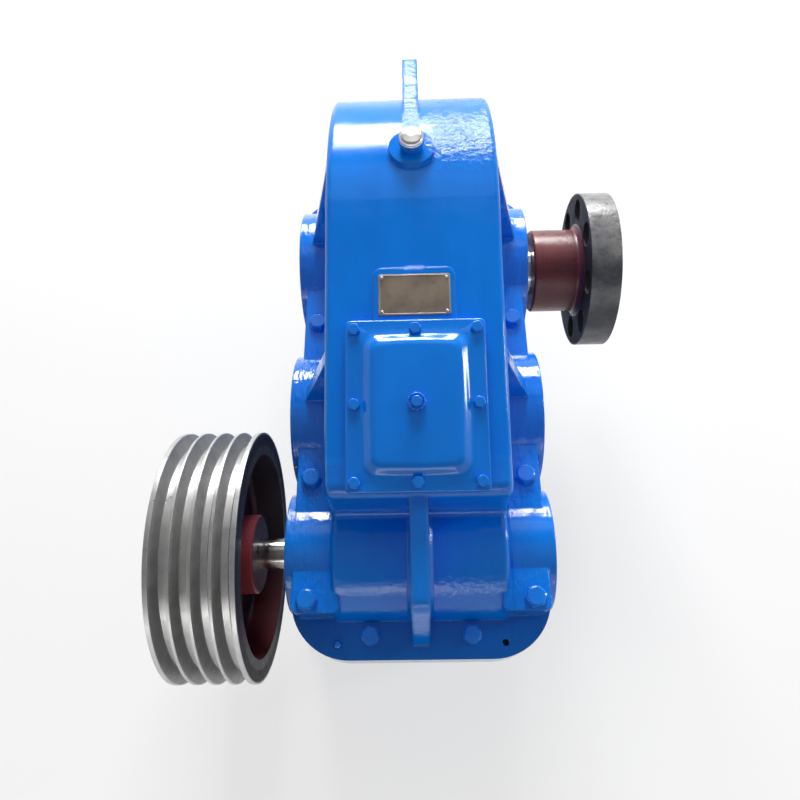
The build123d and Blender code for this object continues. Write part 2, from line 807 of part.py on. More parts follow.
with BuildPart() as dowel_pins:
    with BuildSketch(parting.offset(-flange_thickness)):
        with Locations(*dowel_places):
            RegularPolygon(dowel_radius, shank_sides)
    extrude(amount=2 * flange_thickness + dowel_stick_out)
save(dowel_pins.part, "dowel_pins")

# Drain and oil level plugs with their sealing washers
plug_seat = far_wall_plane.offset(plug_boss_height)
for name, site in plug_sites.items():
    with BuildPart() as plug_washer:
        with BuildSketch(plug_seat):
            with Locations((site.x, site.z)):
                Circle(plug_washer_radius)
                RegularPolygon(plug_radius + thread_clearance, shank_sides, mode=Mode.SUBTRACT)
        extrude(amount=plug_washer_thickness)
    save(plug_washer.part, f"{name}_washer")
    with BuildPart() as plug:
        with BuildSketch(plug_seat.offset(plug_washer_thickness)):
            with Locations((site.x, site.z)):
                RegularPolygon(plug_flats / 2, 6, major_radius=False)
        extrude(amount=plug_head)
        with BuildSketch(plug_seat.offset(plug_washer_thickness)):
            with Locations((site.x, site.z)):
                RegularPolygon(plug_radius, shank_sides)
        extrude(amount=-plug_washer_thickness - plug_boss_height - casing_wall)
    save(plug.part, f"{name}_plug")


# Tapered roller bearings, both of a shaft in one node for each kind of piece
def ring(axis_y, outline, both=True):
    """Rings turned about a shaft from an outline of points (distance out, radius)."""
    with BuildPart() as turned:
        for side in sides if both else (1,):
            with BuildSketch(along(axis_y, side)):
                with BuildLine():
                    Polyline(*outline, close=True)
                make_face()
            revolve(axis=axis_line(axis_y))
    return turned.part


def pitch_radius(bearing):
    return (bearing.bore + bearing.outside) / 4 + pitch_shift


def middle_x(bearing):
    """Distance out of the rollers' middle. The outer ring ends at the end cover."""
    return cover_inner_x - bearing.width / 2


def apex_x(bearing):
    """Distance out of the point on the shaft's axis that the rollers' axes meet."""
    return middle_x(bearing) + pitch_radius(bearing) / tan(radians(contact_angle))


def roller_half_angle(bearing):
    apex_distance = pitch_radius(bearing) / sin(radians(contact_angle))
    return degrees(asin(bearing.roller / 2 / apex_distance))


def rib_face(bearing):
    """Distance out of the inner ring's rib face, just clear of the tilted rollers' large ends."""
    tilt = radians(contact_angle)
    large_end_x = middle_x(bearing) - bearing.roller_length / 2 * cos(tilt)
    return large_end_x - bearing.roller / 2 * sin(tilt) - roller_gap


def inner_race(bearing, x):
    return (apex_x(bearing) - x) * tan(radians(contact_angle - roller_half_angle(bearing)))


def outer_race(bearing, x):
    return (apex_x(bearing) - x) * tan(radians(contact_angle + roller_half_angle(bearing)))


def rib_radius(bearing):
    return inner_race(bearing, rib_face(bearing)) + bearing.roller / 3


def inner_ring(bearing):
    shoulder_x = cover_inner_x - bearing.width
    rib_x = rib_face(bearing)
    end_x = shoulder_x + bearing.inner_width
    return [
        (shoulder_x, bearing.bore / 2 + ring_fit),
        (shoulder_x, rib_radius(bearing)),
        (rib_x, rib_radius(bearing)),
        (rib_x, inner_race(bearing, rib_x)),
        (end_x, inner_race(bearing, end_x)),
        (end_x, bearing.bore / 2 + ring_fit),
    ]


def outer_ring(bearing):
    start_x = cover_inner_x - bearing.outer_width
    return [
        (start_x, outer_race(bearing, start_x)),
        (start_x, bearing.outside / 2),
        (cover_inner_x, bearing.outside / 2),
        (cover_inner_x, outer_race(bearing, cover_inner_x)),
    ]


def cages(axis_y, bearing):
    """Large-end rings of both cages, with a flat for each roller, outside the inner ring's rib."""
    shoulder_x = cover_inner_x - bearing.width
    end_x = rib_face(bearing) - roller_gap
    low = rib_radius(bearing) + 2 * roller_gap
    high = outer_race(bearing, end_x) - bearing.roller / 6
    with BuildPart() as rings:
        for side in sides:
            with BuildSketch(across(axis_y, shoulder_x, side)):
                RegularPolygon(high, bearing.count)
                RegularPolygon(low, bearing.count, major_radius=False, mode=Mode.SUBTRACT)
            extrude(amount=end_x - shoulder_x)
    return rings.part


def rollers(axis_y, bearing):
    """Both rows of tapered rollers of a shaft, each roller a short many-sided cone."""
    tilt = radians(contact_angle)
    middle = Vector(pitch_radius(bearing), 0, middle_x(bearing))
    toward_apex = Vector(-sin(tilt), 0, cos(tilt))
    with BuildPart() as roller:
        for shift in (-bearing.roller_length / 2, bearing.roller_length / 2):
            apex_distance = pitch_radius(bearing) / sin(tilt) - shift
            end_radius = apex_distance * tan(radians(roller_half_angle(bearing))) - roller_gap
            with BuildSketch(Plane(origin=middle + toward_apex * shift, z_dir=toward_apex)):
                RegularPolygon(end_radius, roller_sides)
        loft(ruled=True)
    with BuildPart(*[across(axis_y, 0, side) for side in sides]) as both_rows:
        with PolarLocations(0, bearing.count):
            add(roller.part)
    return both_rows.part


for name, site in sites.items():
    save(ring(site.y, outer_ring(site.bearing)), f"{name}_bearing_outer_rings")
    save(ring(site.y, inner_ring(site.bearing)), f"{name}_bearing_inner_rings")
    save(cages(site.y, site.bearing), f"{name}_bearing_cages")
    save(rollers(site.y, site.bearing), f"{name}_bearing_rollers")


# Embedded end covers and oil seals
def end_cover(axis_y, side, bearing, shaft_radius, seal_radius):
    """End cover locked in the bearing bore by a rim. A shaft radius of 0 makes a blind cover."""
    outer_radius = bearing.outside / 2 - cover_fit
    with BuildPart() as cover:
        with BuildSketch(across(axis_y, cover_inner_x, side)):
            Circle(outer_radius)
        extrude(amount=cover_outer_x - cover_inner_x)
        with BuildSketch(across(axis_y, cover_lock_x + cover_fit, side)):
            Circle(outer_radius + cover_lock_height)
        extrude(amount=cover_lock_width - 2 * cover_fit)
        if shaft_radius:
            with BuildSketch(across(axis_y, cover_inner_x, side)):
                Circle(shaft_radius + shaft_hole_gap)
            extrude(amount=cover_outer_x - cover_inner_x, mode=Mode.SUBTRACT)
            with BuildSketch(across(axis_y, cover_outer_x, side)):
                Circle(seal_radius)
            extrude(amount=-seal_width, mode=Mode.SUBTRACT)
    return cover.part


def shaft_seal(axis_y, side, shaft_radius, seal_radius):
    with BuildPart() as seal:
        with BuildSketch(across(axis_y, cover_outer_x, side)):
            Circle(seal_radius)
            Circle(shaft_radius + seal_gap, mode=Mode.SUBTRACT)
        extrude(amount=-seal_width)
    return seal.part


save(end_cover(input_y, -1, input_bearing, input_journal_radius, input_seal_radius), "input_seal_cover")
save(end_cover(input_y, 1, input_bearing, 0, 0), "input_blind_cover")
save(end_cover(output_y, 1, output_bearing, output_journal_radius, output_seal_radius), "output_seal_cover")
save(end_cover(output_y, -1, output_bearing, 0, 0), "output_blind_cover")
for side, name in ((-1, "intermediate_left_cover"), (1, "intermediate_right_cover")):
    save(end_cover(intermediate_y, side, intermediate_bearing, 0, 0), name)
save(shaft_seal(input_y, -1, input_journal_radius, input_seal_radius), "input_oil_seal")
save(shaft_seal(output_y, 1, output_journal_radius, output_seal_radius), "output_oil_seal")


# Helical gears
def root_radius(module, teeth):
    return module * teeth / helix_cosine / 2 - dedendum_factor * module


def tooth_outline(module, teeth, flank_points, first_angle):
    """Corner points of a helical gear's section: involute flanks down to the root circle."""
    rolling_radius = module * teeth / helix_cosine / 2
    transverse_angle = atan(tan(radians(pressure_angle)) / helix_cosine)
    base_radius = rolling_radius * cos(transverse_angle)
    tip_radius = rolling_radius + module
    foot_radius = root_radius(module, teeth)
    half_pitch_angle = pi / 2 / teeth - gear_backlash / 4 / rolling_radius
    base_half_angle = half_pitch_angle + tan(transverse_angle) - transverse_angle
    start_radius = max(base_radius, foot_radius)
    steps = flank_points - 1
    radii = [start_radius + (tip_radius - start_radius) * i / steps for i in range(flank_points)]
    flank = [(foot_radius, base_half_angle)] if foot_radius < base_radius else []
    for radius in radii:
        roll = acos(min(1, base_radius / radius))
        flank.append((radius, base_half_angle - tan(roll) + roll))
    points = []
    for tooth in range(teeth):
        middle = first_angle + 2 * pi * tooth / teeth
        for radius, half_angle in flank:
            points.append((radius * cos(middle - half_angle), radius * sin(middle - half_angle)))
        for radius, half_angle in reversed(flank):
            points.append((radius * cos(middle + half_angle), radius * sin(middle + half_angle)))
    return points


def toothed_body(axis_y, module, teeth, start_x, end_x, mesh_x, hand, first_angle, flank_points, spans):
    """Solid toothed cylinder between two places, its teeth twisted along the shaft from mesh_x."""
    rolling_radius = module * teeth / helix_cosine / 2
    sections = []
    for i in range(spans + 1):
        x = start_x + (end_x - start_x) * i / spans
        turn = first_angle + hand * (x - mesh_x) * helix_tangent / rolling_radius
        corners = [
            Vector(x, axis_y + y, shaft_height + z)
            for y, z in tooth_outline(module, teeth, flank_points, turn)
        ]
        sections.append([Line(a, b) for a, b in zip(corners, corners[1:] + corners[:1])])
    faces = [Face(Wire(sections[0])), Face(Wire(sections[-1]))]
    for near_lines, far_lines in zip(sections, sections[1:]):
        faces += [
            Face.make_surface_from_curves(near, far) for near, far in zip(near_lines, far_lines)
        ]
    return Solid(Shell(faces))


high_mesh_x = high_gear_x + high_face / 2
low_mesh_x = low_gear_x + low_face / 2
# In both meshes a pinion tooth at angle 0 stands in a wheel space at angle pi.
high_pinion_teeth_body = toothed_body(
    input_y,
    high_module,
    high_pinion_teeth,
    high_gear_x - pinion_extra_face / 2,
    high_gear_x + high_face + pinion_extra_face / 2,
    high_mesh_x,
    -1,
    0,
    pinion_flank_points,
    2,
)
high_gear_teeth_body = toothed_body(
    intermediate_y,
    high_module,
    high_gear_teeth,
    high_gear_x,
    high_gear_x + high_face,
    high_mesh_x,
    1,
    pi + pi / high_gear_teeth,
    wheel_flank_points,
    1,
)
low_pinion_teeth_body = toothed_body(
    intermediate_y,
    low_module,
    low_pinion_teeth,
    low_gear_x - pinion_extra_face / 2,
    low_gear_x + low_face + pinion_extra_face / 2,
    low_mesh_x,
    1,
    0,
    pinion_flank_points,
    2,
)
low_gear_teeth_body = toothed_body(
    output_y,
    low_module,
    low_gear_teeth,
    low_gear_x,
    low_gear_x + low_face,
    low_mesh_x,
    -1,
    pi + pi / low_gear_teeth,
    wheel_flank_points,
    1,
)


def wheel(axis_y, teeth_body, gear, bore_radius, key_size):
    """Gear wheel with a web, a bored hub and its keyway."""
    rim_radius = gear.root_radius - gear.rim_wall
    recess = (gear.face - gear.web) / 2
    with BuildPart() as finished:
        add(teeth_body)
        for x, direction in ((gear.start_x, 1), (gear.start_x + gear.face, -1)):
            with BuildSketch(across(axis_y, x)):
                Circle(rim_radius)
                Circle(gear.hub_radius, mode=Mode.SUBTRACT)
            extrude(amount=direction * recess, mode=Mode.SUBTRACT)
        with BuildSketch(across(axis_y, gear.start_x)):
            Circle(bore_radius)
            with Locations((0, bore_radius)):
                Rectangle(key_size.width + 2 * key_side_gap, 2 * hub_key_depth(key_size))
        extrude(amount=gear.face, mode=Mode.SUBTRACT)
    return finished.part


def hub_key_depth(key_size):
    """Depth of the hub's keyway above its bore."""
    return key_size.height - key_size.shaft_depth + key_top_gap


def key(axis_y, seat_radius, key_size, centre_x):
    """Key standing in its shaft's slot, on top of the shaft."""
    with BuildPart() as key_body:
        with BuildSketch(Plane.XY.offset(shaft_height + seat_radius - key_size.shaft_depth)):
            with Locations((centre_x, axis_y)):
                Rectangle(key_size.length, key_size.width)
        extrude(amount=key_size.height)
    return key_body.part


def stepped(steps):
    """Outline of a turned shaft from its steps (radius, far end), starting at the first end."""
    start_x, *cylinders = steps
    outline = [(start_x, 0)]
    x = start_x
    for radius, end_x in cylinders:
        outline += [(x, radius), (end_x, radius)]
        x = end_x
    return outline + [(x, 0)]


def shaft(axis_y, steps, keyways, teeth_body=None):
    """Turned shaft with its keyways (seat radius, key size, middle) and its integral pinion."""
    with BuildPart() as turned:
        with BuildSketch(along(axis_y)):
            with BuildLine():
                Polyline(*stepped(steps), close=True)
            make_face()
        revolve(axis=axis_line(axis_y))
        ends = turned.faces().filter_by(GeomType.PLANE).sort_by(Axis.X)
        chamfer(ends[0].edges() + ends[-1].edges(), edge_chamfer)
        if teeth_body:
            add(teeth_body)
        for seat_radius, key_size, centre_x in keyways:
            with BuildSketch(Plane.XY.offset(shaft_height + seat_radius - key_size.shaft_depth)):
                with Locations((centre_x, axis_y)):
                    Rectangle(key_size.length + 2 * key_side_gap, key_size.width + 2 * key_side_gap)
            extrude(amount=key_size.height, mode=Mode.SUBTRACT)
    return turned.part


# Input shaft with its integral pinion
input_shoulder_x = cover_inner_x - input_bearing.width
input_bore = input_bearing.bore / 2
input_seat_end_x = cover_inner_x - input_bearing.width + input_bearing.inner_width
pulley_hub_end_x = pulley_seat_x - pulley_seat_length
high_pinion_x = high_gear_x - pinion_extra_face / 2
high_pinion_end_x = high_gear_x + high_face + pinion_extra_face / 2
pulley_key_x = pulley_seat_x - pulley_seat_length / 2
input_end_x = pulley_hub_end_x + shaft_end_gap
input_shaft_part = shaft(
    input_y,
    [
        input_end_x,
        (pulley_seat_radius, pulley_seat_x),
        (input_journal_radius, -input_seat_end_x - seal_journal_margin),
        (input_bore, -input_shoulder_x),
        (input_body_radius, high_pinion_x),
        (root_radius(high_module, high_pinion_teeth) - pinion_core_depth, high_pinion_end_x),
        (input_body_radius, input_shoulder_x),
        (input_bore, input_seat_end_x),
    ],
    [(pulley_seat_radius, pulley_key_size, pulley_key_x)],
    high_pinion_teeth_body,
)
with BuildPart() as input_pinion_shaft:
    add(input_shaft_part)
    with BuildSketch(across(input_y, input_end_x)):
        RegularPolygon(end_screw_radius + thread_clearance, shank_sides)
    extrude(amount=end_screw_depth, mode=Mode.SUBTRACT)
save(input_pinion_shaft.part, "input_pinion_shaft")
save(key(input_y, pulley_seat_radius, pulley_key_size, pulley_key_x), "pulley_key")


# V-belt pulley with its end plate and screw
def pulley_rim():
    """Outline of the grooved rim: (distance along the shaft, radius) from the right face leftward."""
    bottom_radius = pulley_radius - groove_depth
    half_top = groove_top / 2
    half_bottom = half_top - groove_depth * tan(radians(groove_angle / 2))
    width = 2 * groove_edge + (pulley_grooves - 1) * groove_pitch
    outline = [(0, bottom_radius - pulley_rim_wall), (0, pulley_radius)]
    for groove in range(pulley_grooves):
        middle = groove_edge + groove * groove_pitch
        outline += [
            (middle - half_top, pulley_radius),
            (middle - half_bottom, bottom_radius),
            (middle + half_bottom, bottom_radius),
            (middle + half_top, pulley_radius),
        ]
    outline += [(width, pulley_radius), (width, bottom_radius - pulley_rim_wall)]
    return [(pulley_right_x - x, radius) for x, radius in outline]


with BuildPart() as v_belt_pulley:
    with BuildSketch(along(input_y)):
        with BuildLine():
            Polyline(*pulley_rim(), close=True)
        make_face()
    revolve(axis=axis_line(input_y))
    with BuildSketch(across(input_y, pulley_web_x)):
        Circle(pulley_radius - groove_depth - pulley_rim_wall / 2)
    extrude(amount=pulley_web)
    with BuildSketch(across(input_y, pulley_seat_x)):
        Circle(pulley_hub_radius)
    extrude(amount=-pulley_seat_length)
    hub_ends = v_belt_pulley.edges().filter_by(GeomType.CIRCLE)
    chamfer(hub_ends.filter_by(lambda e: abs(e.radius - pulley_hub_radius) < 0.01).sort_by(Axis.X)[-1], 2)
    with BuildSketch(across(input_y, pulley_seat_x)):
        Circle(pulley_seat_radius + ring_fit)
        with Locations((0, pulley_seat_radius)):
            Rectangle(pulley_key_size.width + 2 * key_side_gap, 2 * hub_key_depth(pulley_key_size))
    extrude(amount=-pulley_seat_length, mode=Mode.SUBTRACT)
save(v_belt_pulley.part, "v_belt_pulley")

with BuildPart() as pulley_end_plate:
    with BuildSketch(across(input_y, pulley_hub_end_x)):
        Circle(end_plate_radius)
        RegularPolygon(end_screw_radius + thread_clearance, shank_sides, mode=Mode.SUBTRACT)
    extrude(amount=-end_plate_thickness)
save(pulley_end_plate.part, "pulley_end_plate")

with BuildPart() as pulley_end_screw:
    with BuildSketch(across(input_y, pulley_hub_end_x - end_plate_thickness)):
        RegularPolygon(end_screw_flats / 2, 6, major_radius=False)
    extrude(amount=-end_screw_head)
    with BuildSketch(across(input_y, pulley_hub_end_x - end_plate_thickness)):
        RegularPolygon(end_screw_radius, shank_sides)
    extrude(amount=end_plate_thickness + end_screw_depth)
save(pulley_end_screw.part, "pulley_end_screw")

# Intermediate shaft with its integral pinion, high-speed gear, key and spacer
intermediate_shoulder_x = cover_inner_x - intermediate_bearing.width
intermediate_seat_end_x = intermediate_shoulder_x + intermediate_bearing.inner_width
intermediate_bore = intermediate_bearing.bore / 2
low_pinion_x = low_gear_x - pinion_extra_face / 2
low_pinion_end_x = low_gear_x + low_face + pinion_extra_face / 2
high_gear_end_x = high_gear_x + high_face
high_key_x = high_gear_x + high_face / 2
intermediate_shaft_part = shaft(
    intermediate_y,
    [
        -intermediate_seat_end_x,
        (intermediate_bore, -intermediate_shoulder_x),
        (intermediate_collar_radius, low_pinion_x),
        (root_radius(low_module, low_pinion_teeth) - pinion_core_depth, low_pinion_end_x),
        (high_gear_collar_radius, high_gear_x),
        (high_gear_seat_radius, high_gear_end_x - shaft_end_gap),
        (intermediate_bore, intermediate_seat_end_x),
    ],
    [(high_gear_seat_radius, high_gear_key_size, high_key_x)],
    low_pinion_teeth_body,
)
save(intermediate_shaft_part, "intermediate_pinion_shaft")
save(key(intermediate_y, high_gear_seat_radius, high_gear_key_size, high_key_x), "high_speed_gear_key")
high_gear = Gear(
    high_gear_x,
    high_face,
    root_radius(high_module, high_gear_teeth),
    high_rim_wall,
    high_web,
    high_hub_radius,
)
high_speed_gear_part = wheel(
    intermediate_y, high_gear_teeth_body, high_gear, high_gear_seat_radius + ring_fit, high_gear_key_size
)
save(high_speed_gear_part, "high_speed_gear")
intermediate_spacer_outline = [
    (high_gear_end_x, intermediate_bore + ring_fit),
    (high_gear_end_x, intermediate_spacer_radius),
    (intermediate_shoulder_x, intermediate_spacer_radius),
    (intermediate_shoulder_x, intermediate_bore + ring_fit),
]
save(ring(intermediate_y, intermediate_spacer_outline, both=False), "intermediate_spacer")

# Output shaft, low-speed gear, keys and spacer
output_shoulder_x = cover_inner_x - output_bearing.width
output_seat_end_x = output_shoulder_x + output_bearing.inner_width
output_bore = output_bearing.bore / 2
low_gear_end_x = low_gear_x + low_face
low_key_x = low_gear_x + low_face / 2
coupling_end_x = coupling_flange_x + coupling_flange_width
coupling_key_x = (coupling_hub_x + coupling_end_x) / 2
output_shaft_part = shaft(
    output_y,
    [
        -output_seat_end_x,
        (output_bore, low_gear_x + shaft_end_gap),
        (low_gear_seat_radius, low_gear_end_x),
        (low_gear_collar_radius, low_gear_end_x + low_gear_collar_width),
        (output_body_radius, output_shoulder_x),
        (output_bore, output_seat_end_x + seal_journal_margin),
        (output_journal_radius, coupling_hub_x),
        (coupling_seat_radius, coupling_end_x - coupling_spigot_depth),
    ],
    [
        (low_gear_seat_radius, low_gear_key_size, low_key_x),
        (coupling_seat_radius, coupling_key_size, coupling_key_x),
    ],
)
save(output_shaft_part, "output_shaft")
save(key(output_y, low_gear_seat_radius, low_gear_key_size, low_key_x), "low_speed_gear_key")
save(key(output_y, coupling_seat_radius, coupling_key_size, coupling_key_x), "coupling_key")
low_gear = Gear(
    low_gear_x,
    low_face,
    root_radius(low_module, low_gear_teeth),
    low_rim_wall,
    low_web,
    low_hub_radius,
)
low_speed_gear_part = wheel(
    output_y, low_gear_teeth_body, low_gear, low_gear_seat_radius + ring_fit, low_gear_key_size
)
save(low_speed_gear_part, "low_speed_gear")
output_spacer_outline = [
    (-output_shoulder_x, output_bore + ring_fit),
    (-output_shoulder_x, output_spacer_radius),
    (low_gear_x, output_spacer_radius),
    (low_gear_x, output_bore + ring_fit),
]
save(ring(output_y, output_spacer_outline, both=False), "output_spacer")

# Coupling half with pin holes
with BuildPart() as coupling_half:
    with BuildSketch(across(output_y, coupling_hub_x)):
        Circle(coupling_hub_radius)
    extrude(amount=coupling_end_x - coupling_hub_x)
    with BuildSketch(across(output_y, coupling_flange_x)):
        Circle(coupling_flange_radius)
    extrude(amount=coupling_flange_width)
    circles = coupling_half.edges().filter_by(GeomType.CIRCLE)
    hub_circles = circles.filter_by(lambda e: abs(e.radius - coupling_hub_radius) < 0.01).sort_by(Axis.X)
    chamfer(hub_circles[1], coupling_root_chamfer)
    chamfer(coupling_half.edges().filter_by(GeomType.CIRCLE).sort_by(Axis.X)[0], 2 * edge_chamfer)
    with BuildSketch(across(output_y, coupling_end_x)):
        Circle(coupling_spigot_radius)
    extrude(amount=-coupling_spigot_depth, mode=Mode.SUBTRACT)
    with BuildSketch(across(output_y, coupling_end_x)):
        with PolarLocations(coupling_hole_circle, coupling_holes):
            Circle(coupling_hole_radius)
    extrude(amount=-coupling_flange_width, mode=Mode.SUBTRACT)
    with BuildSketch(across(output_y, coupling_hub_x)):
        Circle(coupling_seat_radius + ring_fit)
        with Locations((0, coupling_seat_radius)):
            Rectangle(coupling_key_size.width + 2 * key_side_gap, 2 * hub_key_depth(coupling_key_size))
    extrude(amount=coupling_end_x - coupling_hub_x, mode=Mode.SUBTRACT)
save(coupling_half.part, "coupling_half")
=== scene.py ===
"""The looks of a painted gear reducer with a V-belt pulley and a coupling half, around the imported
frame. Metres, in the frame's own axes: X along the shafts, Y from the input end, Z up.
"""

from collections import namedtuple
from math import atan2, ceil, copysign, cos, pi, radians, sin, tan
from random import Random

import bmesh
import bpy
from mathutils import Matrix, Vector


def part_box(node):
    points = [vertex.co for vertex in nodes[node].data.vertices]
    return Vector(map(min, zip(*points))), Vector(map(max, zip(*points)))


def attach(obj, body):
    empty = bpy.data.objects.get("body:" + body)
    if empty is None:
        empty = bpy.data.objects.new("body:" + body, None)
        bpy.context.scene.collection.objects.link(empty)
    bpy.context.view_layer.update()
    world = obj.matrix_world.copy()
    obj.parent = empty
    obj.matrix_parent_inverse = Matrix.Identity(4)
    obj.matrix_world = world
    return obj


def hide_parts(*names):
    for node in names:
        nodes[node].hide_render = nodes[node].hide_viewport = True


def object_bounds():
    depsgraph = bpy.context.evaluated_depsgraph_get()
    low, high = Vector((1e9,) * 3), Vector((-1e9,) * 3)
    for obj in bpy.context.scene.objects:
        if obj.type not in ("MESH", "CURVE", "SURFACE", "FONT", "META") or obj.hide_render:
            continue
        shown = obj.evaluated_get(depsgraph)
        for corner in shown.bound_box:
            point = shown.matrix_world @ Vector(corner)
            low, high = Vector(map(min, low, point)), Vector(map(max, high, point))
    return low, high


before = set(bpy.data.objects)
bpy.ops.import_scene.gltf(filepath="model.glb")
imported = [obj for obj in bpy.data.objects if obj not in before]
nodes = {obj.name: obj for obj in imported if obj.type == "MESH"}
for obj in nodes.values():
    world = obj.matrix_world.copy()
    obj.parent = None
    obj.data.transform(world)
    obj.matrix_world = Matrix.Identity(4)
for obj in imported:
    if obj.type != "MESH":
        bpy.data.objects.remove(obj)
cad_low, cad_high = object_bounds()
draw = Random(7)

# Camera, fitted to the photograph
image_px = 800
focal_px = 703.55
sensor_mm = 36.0
camera_place = Vector((-0.00099, -0.4056, 0.9416))
camera_forward = Vector((-0.02204, 0.41633, -0.90895))
camera_up = Vector((0.02039, 0.90917, 0.41593))

# Floor and backdrop. To the camera and in reflections the floor glows white, wholly beyond the far
# end of shadow_reach, and but for the floor_shadow share nearer in, so that it keeps a shadow.
floor_half = 40.0
floor_light = (0.93, 0.93, 0.93)
floor_dim = (0.9, 0.9, 0.9)
floor_shadow = 0.36
shadow_reach = (0.7, 2.4)
backdrop_radius = 30.0
backdrop_height = 18.0
backdrop_drop = 0.5
backdrop_glow = 0.3
white = (1.0, 1.0, 1.0, 1.0)

# Studio lamps: two windows beyond the output end, a soft ceiling, one behind the camera and one
# beside the coupling. Each is (direction from the object, width, height, radiance).
light_distance = 2.6
light_target = Vector((0.0, -0.05, 0.28))
light_panels = {
    "window": (Vector((-0.075, 0.90, 0.44)), 0.66, 0.90, 31.0),
    "window_right": (Vector((0.165, 0.88, 0.43)), 0.50, 0.90, 25.0),
    "ceiling": (Vector((0.05, 0.46, 0.88)), 1.90, 1.10, 0.7),
    "back": (Vector((-0.10, -0.92, 0.26)), 1.30, 0.40, 2.9),
    "side": (Vector((0.93, 0.155, 0.30)), 0.34, 0.50, 26.0),
}
world_dim = 0.20
world_bright = 0.38
world_fade = 0.9

# Paint and metal colours, linear
paint_light = (0.0, 0.235, 0.90)
paint_deep = (0.0, 0.19, 0.78)
# Painted shade: the casing's paint below the split is darkened to this share, for the shadow on the
# lower flange.
split_painted_shade = 0.54
primer_red = (0.115, 0.016, 0.02)
primer_dark = (0.020, 0.018, 0.020)
# Painted shade: dark grey-violet inside the pulley's bowl, most on its upper side.
bowl_painted_shade = (0.075, 0.062, 0.068)
hub_red = (0.17, 0.028, 0.032)
hub_dust = (0.105, 0.03, 0.033)
# Painted highlight: the pulley hub's cylinder is painted this red, brighter than its primer.
hub_painted_highlight = (0.36, 0.06, 0.075)
iron_dark = (0.10, 0.10, 0.102)
face_black = (0.011, 0.010, 0.010)
# Painted shade: the coupling rim's low side.
rim_painted_shade = (0.045, 0.046, 0.05)
rim_bare = (0.13, 0.13, 0.135)
rim_pale = (0.36, 0.355, 0.34)
groove_grey = (0.30, 0.302, 0.305)
groove_pale = (0.40, 0.40, 0.40)
land_bright = (0.58, 0.575, 0.565)
land_dull = (0.46, 0.46, 0.46)
steel_bright = (0.66, 0.65, 0.63)
steel_dull = (0.40, 0.39, 0.38)
gear_oiled = (0.42, 0.38, 0.32)
cage_brown = (0.28, 0.25, 0.22)
plate_bronze = (0.28, 0.228, 0.172)
plate_stain = (0.18, 0.138, 0.112)
plate_edge = (0.36, 0.32, 0.27)
copper = (0.62, 0.28, 0.16)
copper_dull = (0.30, 0.13, 0.08)
gasket_dark = (0.01, 0.035, 0.12)
rubber_black = (0.015, 0.015, 0.016)
seal_steel = (0.30, 0.29, 0.28)
cap_bright = (0.72, 0.71, 0.70)

# Where the casing's paint changes, as (start, end) of each change, metres
# The painted shade below the split fades in over split_shade_z.
split_shade_z = (0.2175, 0.2190)
boss_x = (0.087, 0.090)
arch_right_x = (0.004, 0.026)
arch_y = (0.085, 0.115)
drum_y = (-0.190, -0.186)
far_lug_y = (0.14, 0.16)
lug_paint_half = 0.0095
lug_rounding = 0.0035

# Sides of the turned details, by their size and form
small_segments = 24
lug_segments = 40
segments = 48
wall_segments = 64
turned_segments = 72
fillet_segments = 96
fine_segments = 120

# Sizes of the details, metres
washer_thickness = 0.0012
washer_share = 0.60
corner_share = 0.88
chamfer_slope = tan(radians(30))
thread_pitch = 0.00175
thread_depth = 0.0009
thread_length = 0.006
thread_rings = 6
tip_chamfer = 0.0008
head_bevel = 0.0004
lathe_pitch = 0.0012
pulley_pitch = 0.0011
crease_angle = radians(28)
roof_angle = radians(13.2971)
turn = 2 * pi


def middle(node):
    low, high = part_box(node)
    return (low + high) / 2


